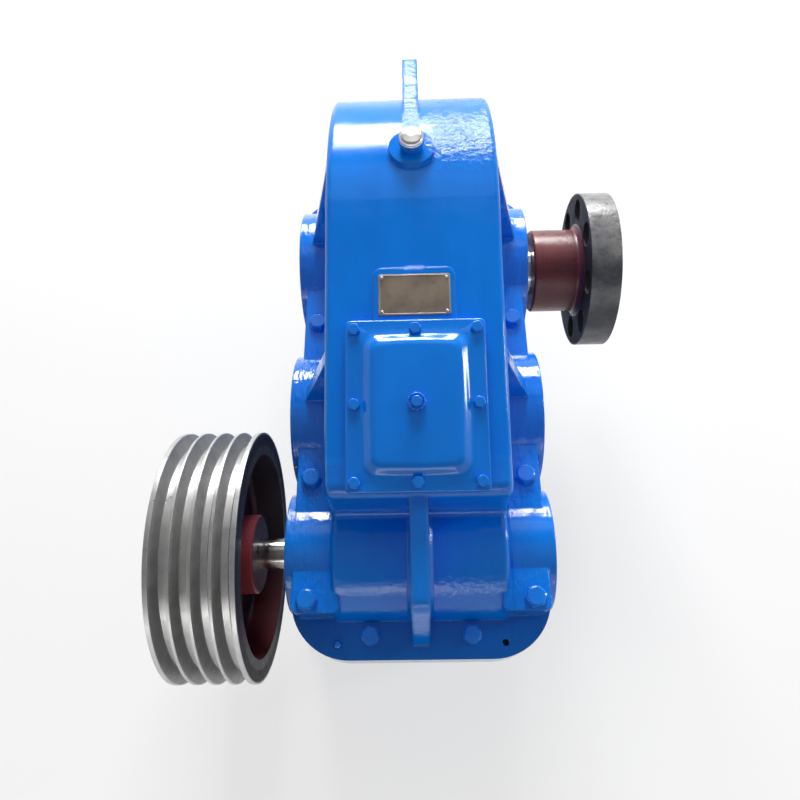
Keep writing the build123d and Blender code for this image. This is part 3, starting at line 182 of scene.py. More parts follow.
class Nodes:
    """A material being built: its shader, and helpers that add linked nodes."""

    def __init__(self, name, roughness, metallic=0.0):
        self.material = bpy.data.materials.new(name)
        self.material.use_nodes = True
        self.tree = self.material.node_tree
        self.shader = self.tree.nodes["Principled BSDF"]
        self.shader.inputs["Roughness"].default_value = roughness
        self.shader.inputs["Metallic"].default_value = metallic
        self.place = self.tree.nodes.new("ShaderNodeTexCoord").outputs["Object"]

    def add(self, kind, inputs=(), **settings):
        node = self.tree.nodes.new(kind)
        for key, value in settings.items():
            setattr(node, key, value)
        for socket, value in dict(inputs).items():
            if isinstance(value, bpy.types.NodeSocket):
                self.tree.links.new(value, node.inputs[socket])
            else:
                node.inputs[socket].default_value = value
        return node

    def link(self, output, name):
        self.tree.links.new(output, self.shader.inputs[name])

    def stretched(self, scale):
        mapping = self.add("ShaderNodeMapping", {"Vector": self.place, "Scale": scale})
        return mapping.outputs["Vector"]

    def noise(self, scale, detail=3.0, place=None, rough=0.55):
        inputs = {
            "Vector": place or self.place,
            "Scale": scale,
            "Detail": detail,
            "Roughness": rough,
        }
        return self.add("ShaderNodeTexNoise", inputs).outputs["Fac"]

    def ramp(self, value, low, high, low_out=0.0, high_out=1.0):
        inputs = {
            "Value": value,
            "From Min": low,
            "From Max": high,
            "To Min": low_out,
            "To Max": high_out,
        }
        return self.add("ShaderNodeMapRange", inputs, clamp=True).outputs["Result"]

    def mix(self, factor, first, second):
        """Mix of two colours. In this mode the node uses its inputs 0, 6 and 7 and its output 2."""
        node = self.add("ShaderNodeMix", data_type="RGBA")
        sockets = node.inputs[0], node.inputs[6], node.inputs[7]
        for socket, value in zip(sockets, (factor, first, second)):
            if isinstance(value, bpy.types.NodeSocket):
                self.tree.links.new(value, socket)
            elif isinstance(value, tuple):
                socket.default_value = (*value[:3], 1.0)
            else:
                socket.default_value = value
        return node.outputs[2]

    def maths(self, operation, *values):
        inputs = dict(enumerate(values))
        return self.add("ShaderNodeMath", inputs, operation=operation).outputs["Value"]

    def vector(self, operation, *values):
        inputs = dict(enumerate(values))
        return self.add("ShaderNodeVectorMath", inputs, operation=operation).outputs

    def bump(self, height, distance, strength=1.0, normal=None):
        inputs = {"Height": height, "Distance": distance, "Strength": strength}
        if normal:
            inputs["Normal"] = normal
        return self.add("ShaderNodeBump", inputs).outputs["Normal"]

    def soft_edges(self, radius):
        return self.add("ShaderNodeBevel", {"Radius": radius}, samples=6).outputs["Normal"]

    def radius_about(self, axis_place):
        """Distance from a shaft's axis, which runs along X through the given place."""
        offset = self.vector("SUBTRACT", self.place, axis_place)["Vector"]
        flat = self.vector("MULTIPLY", offset, (0.0, 1.0, 1.0))["Vector"]
        return self.vector("LENGTH", flat)["Value"]

    def coordinate(self, axis):
        return self.add("ShaderNodeSeparateXYZ", {"Vector": self.place}).outputs[axis]


def casing_paint(name, edge_radius, grain=1.0, wrinkles=1.0, gloss=0.28, casting=False):
    """Thick glossy enamel, smooth but for runs on the bosses and drops on arch, drum and lug.

    A casting also has a clear coat on bosses and drum, and rounder edges on its lifting lugs."""
    m = Nodes(name, roughness=0.12)
    m.shader.inputs["Specular IOR Level"].default_value = gloss
    x, y = m.coordinate("X"), m.coordinate("Y")
    broad = m.noise(5.0, detail=2.0)
    brushed = m.noise(24.0, detail=4.0, place=m.stretched((1.0, 0.25, 0.6)))
    tone = m.maths("MULTIPLY_ADD", broad, 0.6, brushed)
    colour = m.mix(m.ramp(tone, 0.55, 1.05), paint_deep, paint_light)
    # Painted shade: the colour below the split is darkened by a fixed share.
    shade = m.ramp(m.coordinate("Z"), *split_shade_z, split_painted_shade, 1.0)
    shaded = m.add("ShaderNodeVectorMath", {0: colour, "Scale": shade}, operation="SCALE")
    m.link(shaded.outputs["Vector"], "Base Color")
    rough = m.ramp(m.noise(34.0, detail=5.0), 0.35, 0.7, 0.05, 0.15)
    m.link(m.maths("ADD", rough, m.ramp(y, *arch_y, 0.0, 0.06)), "Roughness")

    on_boss = m.ramp(m.maths("ABSOLUTE", x), *boss_x)
    on_arch = m.maths("MULTIPLY", m.ramp(x, *arch_right_x), m.ramp(y, *arch_y))
    on_lug = m.maths("COMPARE", x, 0.0, lug_paint_half)
    on_far_lug = m.maths("MULTIPLY", on_lug, m.ramp(y, *far_lug_y))
    dotted = m.maths("MAXIMUM", on_arch, m.ramp(y, *drum_y, 0.3, 0.0))
    dotted = m.maths("MAXIMUM", dotted, on_far_lug)
    dots = m.maths("MULTIPLY", m.noise(190.0, detail=3.0), dotted)
    drawn = m.noise(120.0, detail=4.0, place=m.stretched((1.0, 0.3, 0.3)))
    runs = m.maths("MULTIPLY", drawn, on_boss)
    patches = m.ramp(m.noise(11.0, detail=3.0), 0.38, 0.58, 0.25, 1.0)
    wrinkle = m.maths("MULTIPLY", m.maths("ADD", dots, runs), patches)

    normal = m.soft_edges(edge_radius)
    if casting:
        radius = m.maths("MULTIPLY_ADD", on_lug, lug_rounding, edge_radius)
        m.tree.links.new(radius, normal.node.inputs["Radius"])
        upward = m.add("ShaderNodeNewGeometry").outputs["True Normal"]
        upward = m.add("ShaderNodeSeparateXYZ", {"Vector": upward}).outputs["Z"]
        coated = m.maths("MAXIMUM", on_boss, m.ramp(y, *drum_y, 0.45, 0.0))
        coated = m.maths("MULTIPLY", coated, m.ramp(upward, 0.985, 0.998, 0.75, 0.0))
        m.link(coated, "Coat Weight")
        m.shader.inputs["Coat Roughness"].default_value = 0.06
    normal = m.bump(m.noise(18.0, detail=2.0), 0.0022 * grain, 0.3, normal)
    normal = m.bump(wrinkle, 0.0024 * wrinkles, 0.8, normal)
    normal = m.bump(m.noise(420.0, detail=2.0), 0.00018 * grain, 0.3, normal)
    m.link(normal, "Normal")
    m.link(normal, "Coat Normal")
    return m.material


def turned_metal(name, bright, dull, axis_place, roughness=0.3, ring_pitch=lathe_pitch):
    """Metal turned on a lathe: fine rings along and across the axis, with stains."""
    m = Nodes(name, roughness=roughness, metallic=1.0)
    stain = m.noise(38.0, detail=5.0)
    m.link(m.mix(m.ramp(stain, 0.42, 0.9), bright, dull), "Base Color")
    travel = m.maths("ADD", m.radius_about(axis_place), m.coordinate("X"))
    rings = m.maths("SINE", m.maths("MULTIPLY", travel, turn / ring_pitch))
    worn = m.noise(90.0, detail=3.0)
    m.link(m.ramp(worn, 0.3, 0.75, roughness * 0.7, roughness * 1.5), "Roughness")
    normal = m.bump(rings, 0.00005, 0.3, m.soft_edges(0.0008))
    m.link(m.bump(m.noise(260.0), 0.00005, 0.2, normal), "Normal")
    return m.material


def plain_metal(name, bright, dull, roughness=0.35, metallic=1.0, depth=0.0002):
    """Stained metal with a fine grain and no turning marks."""
    m = Nodes(name, roughness=roughness, metallic=metallic)
    m.link(m.mix(m.ramp(m.noise(45.0, detail=5.0), 0.4, 0.7), bright, dull), "Base Color")
    m.link(m.ramp(m.noise(80.0), 0.3, 0.7, roughness * 0.75, roughness * 1.4), "Roughness")
    m.link(m.bump(m.noise(160.0, detail=4.0), depth, 0.6, m.soft_edges(0.0006)), "Normal")
    return m.material


def rubber(name, colour):
    m = Nodes(name, roughness=0.6)
    worn = tuple(3 * channel for channel in colour)
    m.link(m.mix(m.ramp(m.noise(120.0), 0.4, 0.7), colour, worn), "Base Color")
    m.link(m.bump(m.noise(500.0), 0.0001, 0.5), "Normal")
    return m.material


def primer(name, colour, dust, roughness=0.3):
    """Red primer sprayed over a cast surface, worn and dusty."""
    m = Nodes(name, roughness=roughness)
    m.link(m.mix(m.ramp(m.noise(26.0, detail=5.0), 0.42, 0.72), colour, dust), "Base Color")
    m.link(m.ramp(m.noise(60.0), 0.3, 0.7, roughness * 0.8, roughness * 1.3), "Roughness")
    normal = m.bump(m.noise(60.0, detail=4.0), 0.0009, 0.5, m.soft_edges(0.001))
    m.link(m.bump(m.noise(320.0, detail=3.0), 0.0003, 0.5, normal), "Normal")
    return m.material


def pulley_finish(name, axis_place, land_radius, bottom_radius, inside_radius, face_x, hub):
    """Turned lands and groove bottoms, duller groove walls, dark primed faces and a red hub, with
    painted shade in the bowl, most on its upper side, and a painted highlight on the hub's
    cylinder.

    The hub is its radius and the X of its face."""
    m = Nodes(name, roughness=0.3)
    m.shader.inputs["Specular IOR Level"].default_value = 0.2
    radius = m.radius_about(axis_place)
    x = m.coordinate("X")
    stain = m.noise(60.0, detail=5.0)
    edge = 0.0005
    on_land = m.ramp(radius, land_radius - 3 * edge, land_radius - edge)
    on_bottom = m.ramp(radius, bottom_radius + edge, bottom_radius + 3 * edge, 1.0, 0.0)
    bright = m.maths("MAXIMUM", on_land, on_bottom)
    wall_shade = m.mix(m.ramp(stain, 0.35, 0.7), groove_grey, groove_pale)
    bright_shade = m.mix(m.ramp(stain, 0.45, 0.75), land_bright, land_dull)
    turned = m.mix(bright, wall_shade, bright_shade)
    faces = m.ramp(x, face_x - edge, face_x - edge / 2)
    off_land = m.ramp(radius, land_radius - 5 * edge, land_radius - 3 * edge, 1.0, 0.0)
    faces = m.maths("MULTIPLY", faces, off_land)
    in_bowl = m.ramp(radius, inside_radius + edge, inside_radius + edge / 2)
    inside = m.maths("MAXIMUM", faces, in_bowl)
    # Painted shade: the bowl's inside turns from red primer to dark grey by noise, more on the
    # upper side; it turns with the pulley.
    upper = m.ramp(m.coordinate("Y"), axis_place.y - 0.05, axis_place.y + 0.05)
    cloud = m.maths("ADD", m.noise(9.0, detail=4.0), m.maths("MULTIPLY", upper, 0.22))
    cloud = m.maths("ADD", cloud, m.maths("MULTIPLY", faces, 0.3))
    painted = m.mix(m.ramp(cloud, 0.48, 0.70), primer_red, m.mix(faces, bowl_painted_shade, primer_dark))
    hub_radius, hub_face = hub
    # Painted highlight: the hub's cylinder, but not its face, is painted a brighter red.
    on_hub = m.ramp(radius, hub_radius + 0.004, hub_radius + 0.001)
    off_face = m.ramp(x, hub_face - edge, hub_face - edge / 2, 1.0, 0.0)
    painted = m.mix(m.maths("MULTIPLY", on_hub, off_face), painted, hub_painted_highlight)
    m.link(m.mix(inside, turned, painted), "Base Color")
    metal = m.maths("SUBTRACT", 1.0, inside)
    m.link(m.maths("MULTIPLY", metal, m.ramp(bright, 0.0, 1.0, 0.6, 0.95)), "Metallic")
    rough = m.ramp(m.noise(110.0), 0.3, 0.7, 0.27, 0.38)
    rough = m.maths("MULTIPLY_ADD", m.maths("SUBTRACT", 1.0, bright), 0.12, rough)
    m.link(m.maths("MULTIPLY_ADD", inside, 0.12, rough), "Roughness")
    rings = m.maths("SINE", m.maths("MULTIPLY", m.maths("ADD", x, radius), turn / pulley_pitch))
    normal = m.bump(m.maths("MULTIPLY", rings, metal), 0.00006, 0.3, m.soft_edges(0.0006))
    m.link(m.bump(m.noise(180.0, detail=4.0), 0.0002, 0.2, normal), "Normal")
    return m.material


def coupling_finish(name, axis_place, rim_radius, face_x, hub_radius):
    """Mottled bare casting round the rim, nearly black flange face and red primer on the hub. The
    rim's low side is darkened, a painted shade that turns with the coupling.
    """
    m = Nodes(name, roughness=0.4)
    radius = m.radius_about(axis_place)
    edge = 0.0006
    blotches = m.noise(26.0, detail=5.0, place=m.stretched((0.5, 1.0, 1.0)), rough=0.65)
    scars = m.noise(120.0, detail=4.0)
    mottle = m.maths("MULTIPLY_ADD", scars, 0.35, blotches)
    bare = m.mix(m.ramp(mottle, 0.56, 0.86), rim_bare, rim_pale)
    red = m.mix(m.ramp(m.noise(28.0, detail=5.0), 0.45, 0.75), hub_red, hub_dust)
    smudge = m.ramp(m.noise(22.0, detail=4.0), 0.55, 0.75, 0.0, 0.35)
    black = m.mix(smudge, face_black, primer_red)
    on_rim = m.ramp(radius, rim_radius - 3 * edge, rim_radius - edge)
    off_hub = m.ramp(radius, hub_radius + 0.001, hub_radius + 0.006)
    body = m.mix(off_hub, red, black)
    # Painted shade: the rim darkens towards its low side, patchy by the blotches; it turns with the
    # coupling.
    low_side = m.ramp(m.coordinate("Y"), axis_place.y - 0.035, axis_place.y - 0.08)
    low_side_painted_shade = m.maths("MULTIPLY", low_side, m.ramp(blotches, 0.3, 0.7, 1.0, 0.65))
    bare = m.mix(low_side_painted_shade, bare, rim_painted_shade)
    far_face = m.ramp(m.coordinate("X"), face_x - edge, face_x - edge / 2)
    bare_places = m.maths("MAXIMUM", on_rim, far_face)
    m.link(m.mix(bare_places, body, bare), "Base Color")
    m.link(m.maths("MULTIPLY", bare_places, 0.4), "Metallic")
    rough = m.ramp(m.noise(70.0), 0.3, 0.7, 0.24, 0.40)
    rougher = m.maths("MULTIPLY_ADD", bare_places, -0.3, 0.3)
    m.link(m.maths("MULTIPLY_ADD", off_hub, rougher, rough), "Roughness")
    normal = m.bump(m.noise(48.0, detail=4.0), 0.0010, 0.4, m.soft_edges(0.0012))
    m.link(m.bump(m.noise(300.0, detail=3.0), 0.0003, 0.5, normal), "Normal")
    return m.material


def wear(node, material):
    """Puts one material on a CAD node."""
    mesh = nodes[node].data
    mesh.materials.clear()
    mesh.materials.append(material)


# Meshes. A spot is a place on the object with an axis and a side vector, from which angles about
# the axis count. A profile is a list of (radius, height) about the axis, or of functions that give
# them for an angle.
Spot = namedtuple("Spot", "origin axis side")


def spot(origin, axis, phase=0.0):
    """The spot at an origin, with its side vector turned by the phase."""
    axis = Vector(axis).normalized()
    start = Vector((1, 0, 0)) if abs(axis.x) < 0.9 else Vector((0, 1, 0))
    side = (start - axis * start.dot(axis)).normalized()
    return Spot(Vector(origin), axis, Matrix.Rotation(phase, 3, axis) @ side)


def angle_about(place, direction):
    """Angle of a direction about a spot's axis."""
    across = place.axis.cross(place.side)
    return atan2(direction.dot(across), direction.dot(place.side))


def lathe(place, profile, count=segments, closed=False, arc=None):
    """Vertices and faces of a shape turned about a spot's axis, whole or through an arc."""
    across = place.axis.cross(place.side)
    start, sweep = arc or (0.0, turn)
    points = count + 1 if arc else count
    vertices, faces, rings = [], [], []
    for entry in profile:
        first = len(vertices)
        for i in range(points):
            angle = start + sweep * i / count
            radius, height = entry(angle) if callable(entry) else entry
            outward = place.side * cos(angle) + across * sin(angle)
            vertices.append(place.origin + outward * radius + place.axis * height)
            if radius == 0:
                break
        rings.append(list(range(first, len(vertices))))
    pairs = list(zip(rings, rings[1:]))
    if closed:
        pairs.append((rings[-1], rings[0]))
    for near, far in pairs:
        for i in range(count):
            j = (i + 1) % points
            if len(near) == 1:
                faces.append((near[0], far[j], far[i]))
            elif len(far) == 1:
                faces.append((near[i], near[j], far[0]))
            else:
                faces.append((near[i], near[j], far[j], far[i]))
    if arc:
        faces += [tuple(ring[0] for ring in rings), tuple(ring[-1] for ring in reversed(rings))]
    return vertices, faces


def rounded_loop(place, half_x, half_u, corner, height, bulge=0.0, steps=8):
    """Points of a rounded rectangle about a spot, whose X is the spot's side vector.

    Its straight runs bulge outward in the middle. Each run and each corner has the given steps."""
    up = place.axis.cross(place.side)
    loop = []
    for quarter in range(4):
        x_sign = 1 if quarter in (0, 3) else -1
        u_sign = 1 if quarter in (0, 1) else -1
        for step in range(steps + 1):
            angle = (quarter + step / steps) * pi / 2
            x = x_sign * (half_x - corner) + corner * cos(angle)
            u = u_sign * (half_u - corner) + corner * sin(angle)
            loop.append((x, u))
        x, u = loop[-1]
        for step in range(1, steps):
            share = step / steps
            swell = bulge * sin(pi * share)
            if quarter in (0, 2):
                loop.append((x - 2 * x * share, u + copysign(swell, u)))
            else:
                loop.append((x + copysign(swell, x), u - 2 * u * share))
    return [place.origin + place.side * x + up * u + place.axis * height for x, u in loop]


def stacked(loops):
    """Vertices and faces of a solid from its loops, in order, closed at both ends."""
    size = len(loops[0])
    vertices = [point for loop in loops for point in loop]
    faces = []
    for ring in range(len(loops) - 1):
        for i in range(size):
            j = (i + 1) % size
            start, end = ring * size, (ring + 1) * size
            faces.append((start + i, start + j, end + j, end + i))
    faces.append(tuple(range(size - 1, -1, -1)))
    faces.append(tuple(range(len(vertices) - size, len(vertices))))
    return vertices, faces


def piece(name, shapes, body, materials, replaces=(), bevel=0.0, shares=None):
    """One object from several (vertices, faces), riding on a body and smooth but for creases.

    The shares give each face the index of its material."""
    vertices, faces = [], []
    for points, corners in shapes:
        start = len(vertices)
        vertices += points
        faces += [tuple(start + i for i in corner) for corner in corners]
    mesh = bpy.data.meshes.new(name)
    mesh.from_pydata(vertices, [], faces)
    shaped = bmesh.new()
    shaped.from_mesh(mesh)
    bmesh.ops.recalc_face_normals(shaped, faces=shaped.faces)
    shaped.to_mesh(mesh)
    shaped.free()
    for material in materials:
        mesh.materials.append(material)
    for polygon in mesh.polygons:
        polygon.use_smooth = True
        polygon.material_index = shares[polygon.index] if shares else 0
    mesh.set_sharp_from_angle(angle=crease_angle)
    made = bpy.data.objects.new(name, mesh)
    bpy.context.scene.collection.objects.link(made)
    if bevel:
        rounding = made.modifiers.new("rounded_edges", "BEVEL")
        rounding.width = bevel
        rounding.segments = 2
        rounding.limit_method = "ANGLE"
        rounding.angle_limit = crease_angle
        rounding.harden_normals = True
    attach(made, body)
    if replaces:
        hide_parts(*replaces)


def islands(node):
    """Corner points of each separate solid of a CAD node, in a fixed order."""
    mesh = nodes[node].data
    keys = [tuple(round(c, 6) for c in vertex.co) for vertex in mesh.vertices]
    leader = {key: key for key in keys}

    def top(key):
        while leader[key] != key:
            leader[key] = leader[leader[key]]
            key = leader[key]
        return key

    for edge in mesh.edges:
        first, second = (top(keys[i]) for i in edge.vertices)
        if first != second:
            leader[max(first, second)] = min(first, second)
    groups = {}
    for key in leader:
        groups.setdefault(top(key), []).append(Vector(key))
    return [groups[key] for key in sorted(groups)]


def measured(points, axis):
    """A solid's levels along an axis with the largest radius at each, and the axis point at 0."""
    axis = Vector(axis).normalized()
    heights = {}
    for point in points:
        heights.setdefault(round(point.dot(axis), 4), []).append(point)
    flat = [point - axis * point.dot(axis) for point in points]
    low = Vector([min(p[i] for p in flat) for i in range(3)])
    high = Vector([max(p[i] for p in flat) for i in range(3)])
    foot = (low + high) / 2
    levels = []
    for height in sorted(heights):
        reach = max((p - axis * p.dot(axis) - foot).length for p in heights[height])
        levels.append((height, reach))
    return foot, levels


def hexagon(flats):
    """The distance from a hexagon's middle to its edge, for an angle."""

    def reach(angle):
        return flats / 2 / cos(angle % (pi / 3) - pi / 6)

    return reach


def hex_rings(flats, bottom, top, below=False):
    """Profile of a hexagon from its top down, with the round chamfer that bolt heads have."""
    corner = hexagon(flats)
    flat_circle = corner_share * flats / 2

    def drop(angle):
        return (corner(angle) - flat_circle) * chamfer_slope

    rings = [(flat_circle, top), lambda angle: (corner(angle), top - drop(angle))]
    if below:
        rings += [lambda angle: (corner(angle), bottom + drop(angle)), (flat_circle, bottom)]
    else:
        rings.append(lambda angle: (corner(angle), bottom))
    return rings


def thread(radius, start, end):
    """Rings of a thread from one height down to another."""
    steps = ceil((start - end) / thread_pitch * thread_rings)

    def ring(height):
        def entry(angle):
            phase = (height / thread_pitch + angle / turn) % 1
            return radius - thread_depth * abs(2 * phase - 1), height

        return entry

    return [ring(start + (end - start) * i / steps) for i in range(steps + 1)]


def bolt_shapes(node, axis, full=True):
    """A chamfered hexagon head and a shank for each solid, full ones with a washer and a thread."""
    shapes = []
    for points in islands(node):
        foot, levels = measured(points, axis)
        (tip, shank), (seat, _), (top, reach) = levels[0], levels[-2], levels[-1]
        flats = 2 * reach * cos(pi / 6)
        place = spot(foot + Vector(axis).normalized() * seat, axis, draw.uniform(0, turn))
        base = washer_thickness if full else 0.0
        profile = [(0, top - seat)] + hex_rings(flats, base, top - seat)
        if full:
            profile += [(washer_share * flats, base), (washer_share * flats, 0)]
        end = tip - seat
        profile.append((shank, 0))
        if full:
            profile += thread(shank, end + thread_length, end + tip_chamfer)
        profile += [(shank - tip_chamfer, end), (0, end)]
        shapes.append(lathe(place, profile))
    return shapes


def nut_shapes(node, axis):
    """A nut chamfered on both sides and its washer, for each solid. The axis leaves the seat."""
    shapes = []
    for points in islands(node):
        foot, levels = measured(points, axis)
        (seat, reach), (top, _) = levels[0], levels[-1]
        flats = 2 * reach * cos(pi / 6)
        hole = min((p - Vector(axis) * p.dot(Vector(axis)) - foot).length for p in points)
        place = spot(foot + Vector(axis) * seat, axis, draw.uniform(0, turn))
        height = top - seat
        rim = [(hole + 0.0007, height), *hex_rings(flats, washer_thickness, height, below=True)]
        rim += [(hole + 0.0002, washer_thickness), (hole + 0.0002, height - 0.0006)]
        shapes.append(lathe(place, rim, closed=True))
        washer = washer_share * flats
        ring = [(hole, 0), (washer, 0), (washer, washer_thickness), (hole, washer_thickness)]
        shapes.append(lathe(place, ring, closed=True))
    return shapes


# Materials of the CAD nodes
input_axis = middle("input_pinion_shaft")
intermediate_axis = middle("intermediate_pinion_shaft")
output_axis = middle("coupling_half")
pulley_low, pulley_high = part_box("v_belt_pulley")
coupling_low, coupling_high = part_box("coupling_half")
pulley_radius = (pulley_high.z - pulley_low.z) / 2
coupling_radius = (coupling_high.z - coupling_low.z) / 2
groove_depth = 0.0143
rim_wall = 0.009
rim_inside = pulley_radius - groove_depth - rim_wall
pulley_hub_radius = 0.041
pulley_hub_face = -0.168
pulley_web = (-0.214, -0.202)
coupling_hub_radius = 0.05
coupling_face_x = 0.201

paint = casing_paint("casing_paint", 0.0025, casting=True)
fastener_paint = casing_paint("fastener_paint", 0.0008, grain=0.5, wrinkles=0.25, gloss=0.5)
cover_paint = casing_paint("cover_paint", 0.0016, grain=0.35, wrinkles=0.12, gloss=0.4)
for node in ("upper_housing", "lower_housing"):
    wear(node, paint)
for node in ("input_seal_cover", "output_seal_cover", "breather_body"):
    wear(node, cover_paint)
wear("inspection_gasket", rubber("gasket_fibre", gasket_dark))
for node in ("drain_washer", "oil_level_washer"):
    wear(node, plain_metal(f"{node}_copper", copper, copper_dull))
steel = (steel_bright, steel_dull)
shaft_axes = {"input": input_axis, "intermediate": intermediate_axis, "output": output_axis}
for shaft, axis_place in shaft_axes.items():
    ground = turned_metal(f"{shaft}_bearing_steel", *steel, axis_place, 0.18, ring_pitch=0.0006)
    wear(f"{shaft}_bearing_outer_rings", ground)
    wear(f"{shaft}_bearing_inner_rings", ground)
    wear(f"{shaft}_bearing_rollers", plain_metal(f"{shaft}_roller_steel", *steel, 0.2))
    cage_steel = plain_metal(f"{shaft}_cage_steel", cage_brown, steel_dull, 0.4)
    wear(f"{shaft}_bearing_cages", cage_steel)
turned_nodes = (
    ("input_pinion_shaft", "input_shaft_steel", steel_bright, steel_dull, input_axis, 0.14),
    (
        "intermediate_pinion_shaft",
        "intermediate_shaft_steel",
        steel_bright,
        gear_oiled,
        intermediate_axis,
        0.3,
    ),
    (
        "intermediate_spacer",
        "intermediate_spacer_steel",
        steel_dull,
        steel_bright,
        intermediate_axis,
        0.3,
    ),
    ("output_shaft", "output_shaft_steel", steel_bright, steel_dull, output_axis, 0.14),
    ("output_spacer", "output_spacer_steel", steel_dull, steel_bright, output_axis, 0.3),
    ("high_speed_gear", "high_gear_steel", gear_oiled, steel_dull, intermediate_axis, 0.32),
    ("low_speed_gear", "low_gear_steel", gear_oiled, steel_dull, output_axis, 0.32),
)
for node, *looks in turned_nodes:
    wear(node, turned_metal(*looks))
for node in ("pulley_key", "high_speed_gear_key", "low_speed_gear_key", "coupling_key"):
    wear(node, plain_metal(f"{node}_steel", steel_dull, steel_bright))
pulley_metal = pulley_finish(
    "pulley_finish",
    input_axis,
    pulley_radius,
    pulley_radius - groove_depth,
    rim_inside,
    pulley_high.x,
    (pulley_hub_radius, pulley_hub_face),
)
wear("v_belt_pulley", pulley_metal)
coupling_metal = coupling_finish(
    "coupling_finish",
    output_axis,
    coupling_radius,
    coupling_high.x,
    coupling_hub_radius,
)
wear("coupling_half", coupling_metal)

# Bolts, nuts, plugs and pins
up, far, left = (0, 0, 1), (0, 1, 0), (-1, 0, 0)
roof_slope = Vector((0, -sin(roof_angle), cos(roof_angle)))


def blue_detail(node, shapes, material=fastener_paint, bevel=0.0):
    """Painted stand-in for a CAD node of the housing."""
    piece(f"{node}_detail", shapes, "housing", [material], [node], bevel)


for node in ("bearing_cap_bolts", "flange_bolts"):
    blue_detail(node, bolt_shapes(node, up), bevel=head_bevel)
for node in ("bearing_cap_nuts", "flange_nuts"):
    blue_detail(node, nut_shapes(node, (0, 0, -1)), bevel=head_bevel)
cover_screws = bolt_shapes("inspection_cover_screws", roof_slope, full=False)
blue_detail("inspection_cover_screws", cover_screws, bevel=head_bevel)
for node in ("drain_plug", "oil_level_plug"):
    blue_detail(node, bolt_shapes(node, far, full=False), bevel=0.0005)
end_screw_steel = plain_metal("end_screw_steel", steel_dull, iron_dark)
piece(
    "pulley_end_screw_detail",
    bolt_shapes("pulley_end_screw", left, full=False),
    "input_shaft",
    [end_screw_steel],
    ["pulley_end_screw"],
    bevel=head_bevel,
)

shapes = []
for points in islands("dowel_pins"):
    foot, levels = measured(points, up)
    (low, reach), (high, _) = levels[0], levels[-1]
    place = spot(foot + Vector((0, 0, low)), up)
    length = high - low
    profile = [(0, length), (0.55 * reach, length), (0.9 * reach, length - 0.0012)]
    profile += [(reach, length - 0.0024), (reach, 0), (0, 0)]
    shapes.append(lathe(place, profile, small_segments))
blue_detail("dowel_pins", shapes, bevel=0.0003)

# Centre plug of the inspection cover: a notched collar under its hexagon
foot, levels = measured(islands("cover_plug")[0], roof_slope)
tip, seat, _, top = (height for height, _ in levels)
collar_radius = levels[1][1]
plug_flats = 2 * levels[3][1] * cos(pi / 6)
notches = 12
notch_depth = 0.0011


def notched(height, inset=0.0):
    """Profile entry of the notched collar."""

    def entry(angle):
        notch = max(0.0, cos(notches * angle)) ** 3
        return collar_radius - inset - notch_depth * notch, height

    return entry


plug_height = top - seat
ring_top = 0.68 * plug_height
recess = 0.50 * plug_height
boss_flats = 0.78 * plug_flats
profile = [(0, plug_height)] + hex_rings(boss_flats, recess, plug_height)
profile += [(0.74 * collar_radius, recess), (0.77 * collar_radius, ring_top - 0.0004)]
profile += [(0.80 * collar_radius, ring_top), notched(ring_top, 0.0006), notched(ring_top - 0.0006)]
profile += [notched(0.0), (levels[0][1], 0), (levels[0][1], tip - seat), (0, tip - seat)]
place = spot(foot + roof_slope.normalized() * seat, roof_slope, 0.35)
blue_detail("cover_plug", [lathe(place, profile, fine_segments)])

# Breather cap: a domed cap with a knurled skirt
foot, levels = measured(islands("breather_cap")[0], up)
cap_low, cap_high = levels[0][0], levels[-1][0]
cap_radius = max(reach for _, reach in levels)
cap_height = cap_high - cap_low
knurl_depth = 0.0004
knurl_halves = 30


def knurled(height):
    """Profile entry of the knurled skirt."""

    def entry(angle):
        return cap_radius - knurl_depth * (1 - abs(cos(knurl_halves * angle))), height

    return entry


profile = [(0, cap_height), (0.22 * cap_radius, cap_height)]
profile.append((0.45 * cap_radius, cap_height * 0.985))
for step in range(6, -1, -1):
    angle = step * pi / 12
    dome_radius = cap_radius * (1 - (1 - cos(angle)) * 0.34)
    profile.append((dome_radius, cap_height * (0.62 + 0.30 * sin(angle))))
profile += [(0.95 * cap_radius, cap_height * 0.57), (0.95 * cap_radius, cap_height * 0.52)]
profile += [knurled(cap_height * 0.47), knurled(cap_height * 0.06)]
profile += [(0.92 * cap_radius, 0), (0, 0)]
breather_metal = plain_metal("breather_metal", cap_bright, steel_dull, roughness=0.22)
place = spot(foot + Vector((0, 0, cap_low)), up)
piece(
    "breather_cap_detail",
    [lathe(place, profile, fine_segments)],
    "housing",
    [breather_metal],
    ["breather_cap"],
)

# Bare nameplate with a raised border line, and its domed rivets
plate_axis = roof_slope.normalized()
plate_points = islands("nameplate")[0]
plate_foot, plate_levels = measured(plate_points, plate_axis)
plate_base, plate_top = plate_levels[0][0], plate_levels[-1][0]
plate_spot = spot(plate_foot + plate_axis * plate_base, plate_axis)
plate_up = plate_spot.axis.cross(plate_spot.side)
plate_half = max(point.x for point in plate_points)
plate_rise = max((point - plate_foot).dot(plate_up) for point in plate_points)
plate_thick = plate_top - plate_base
plate_corner = 0.002

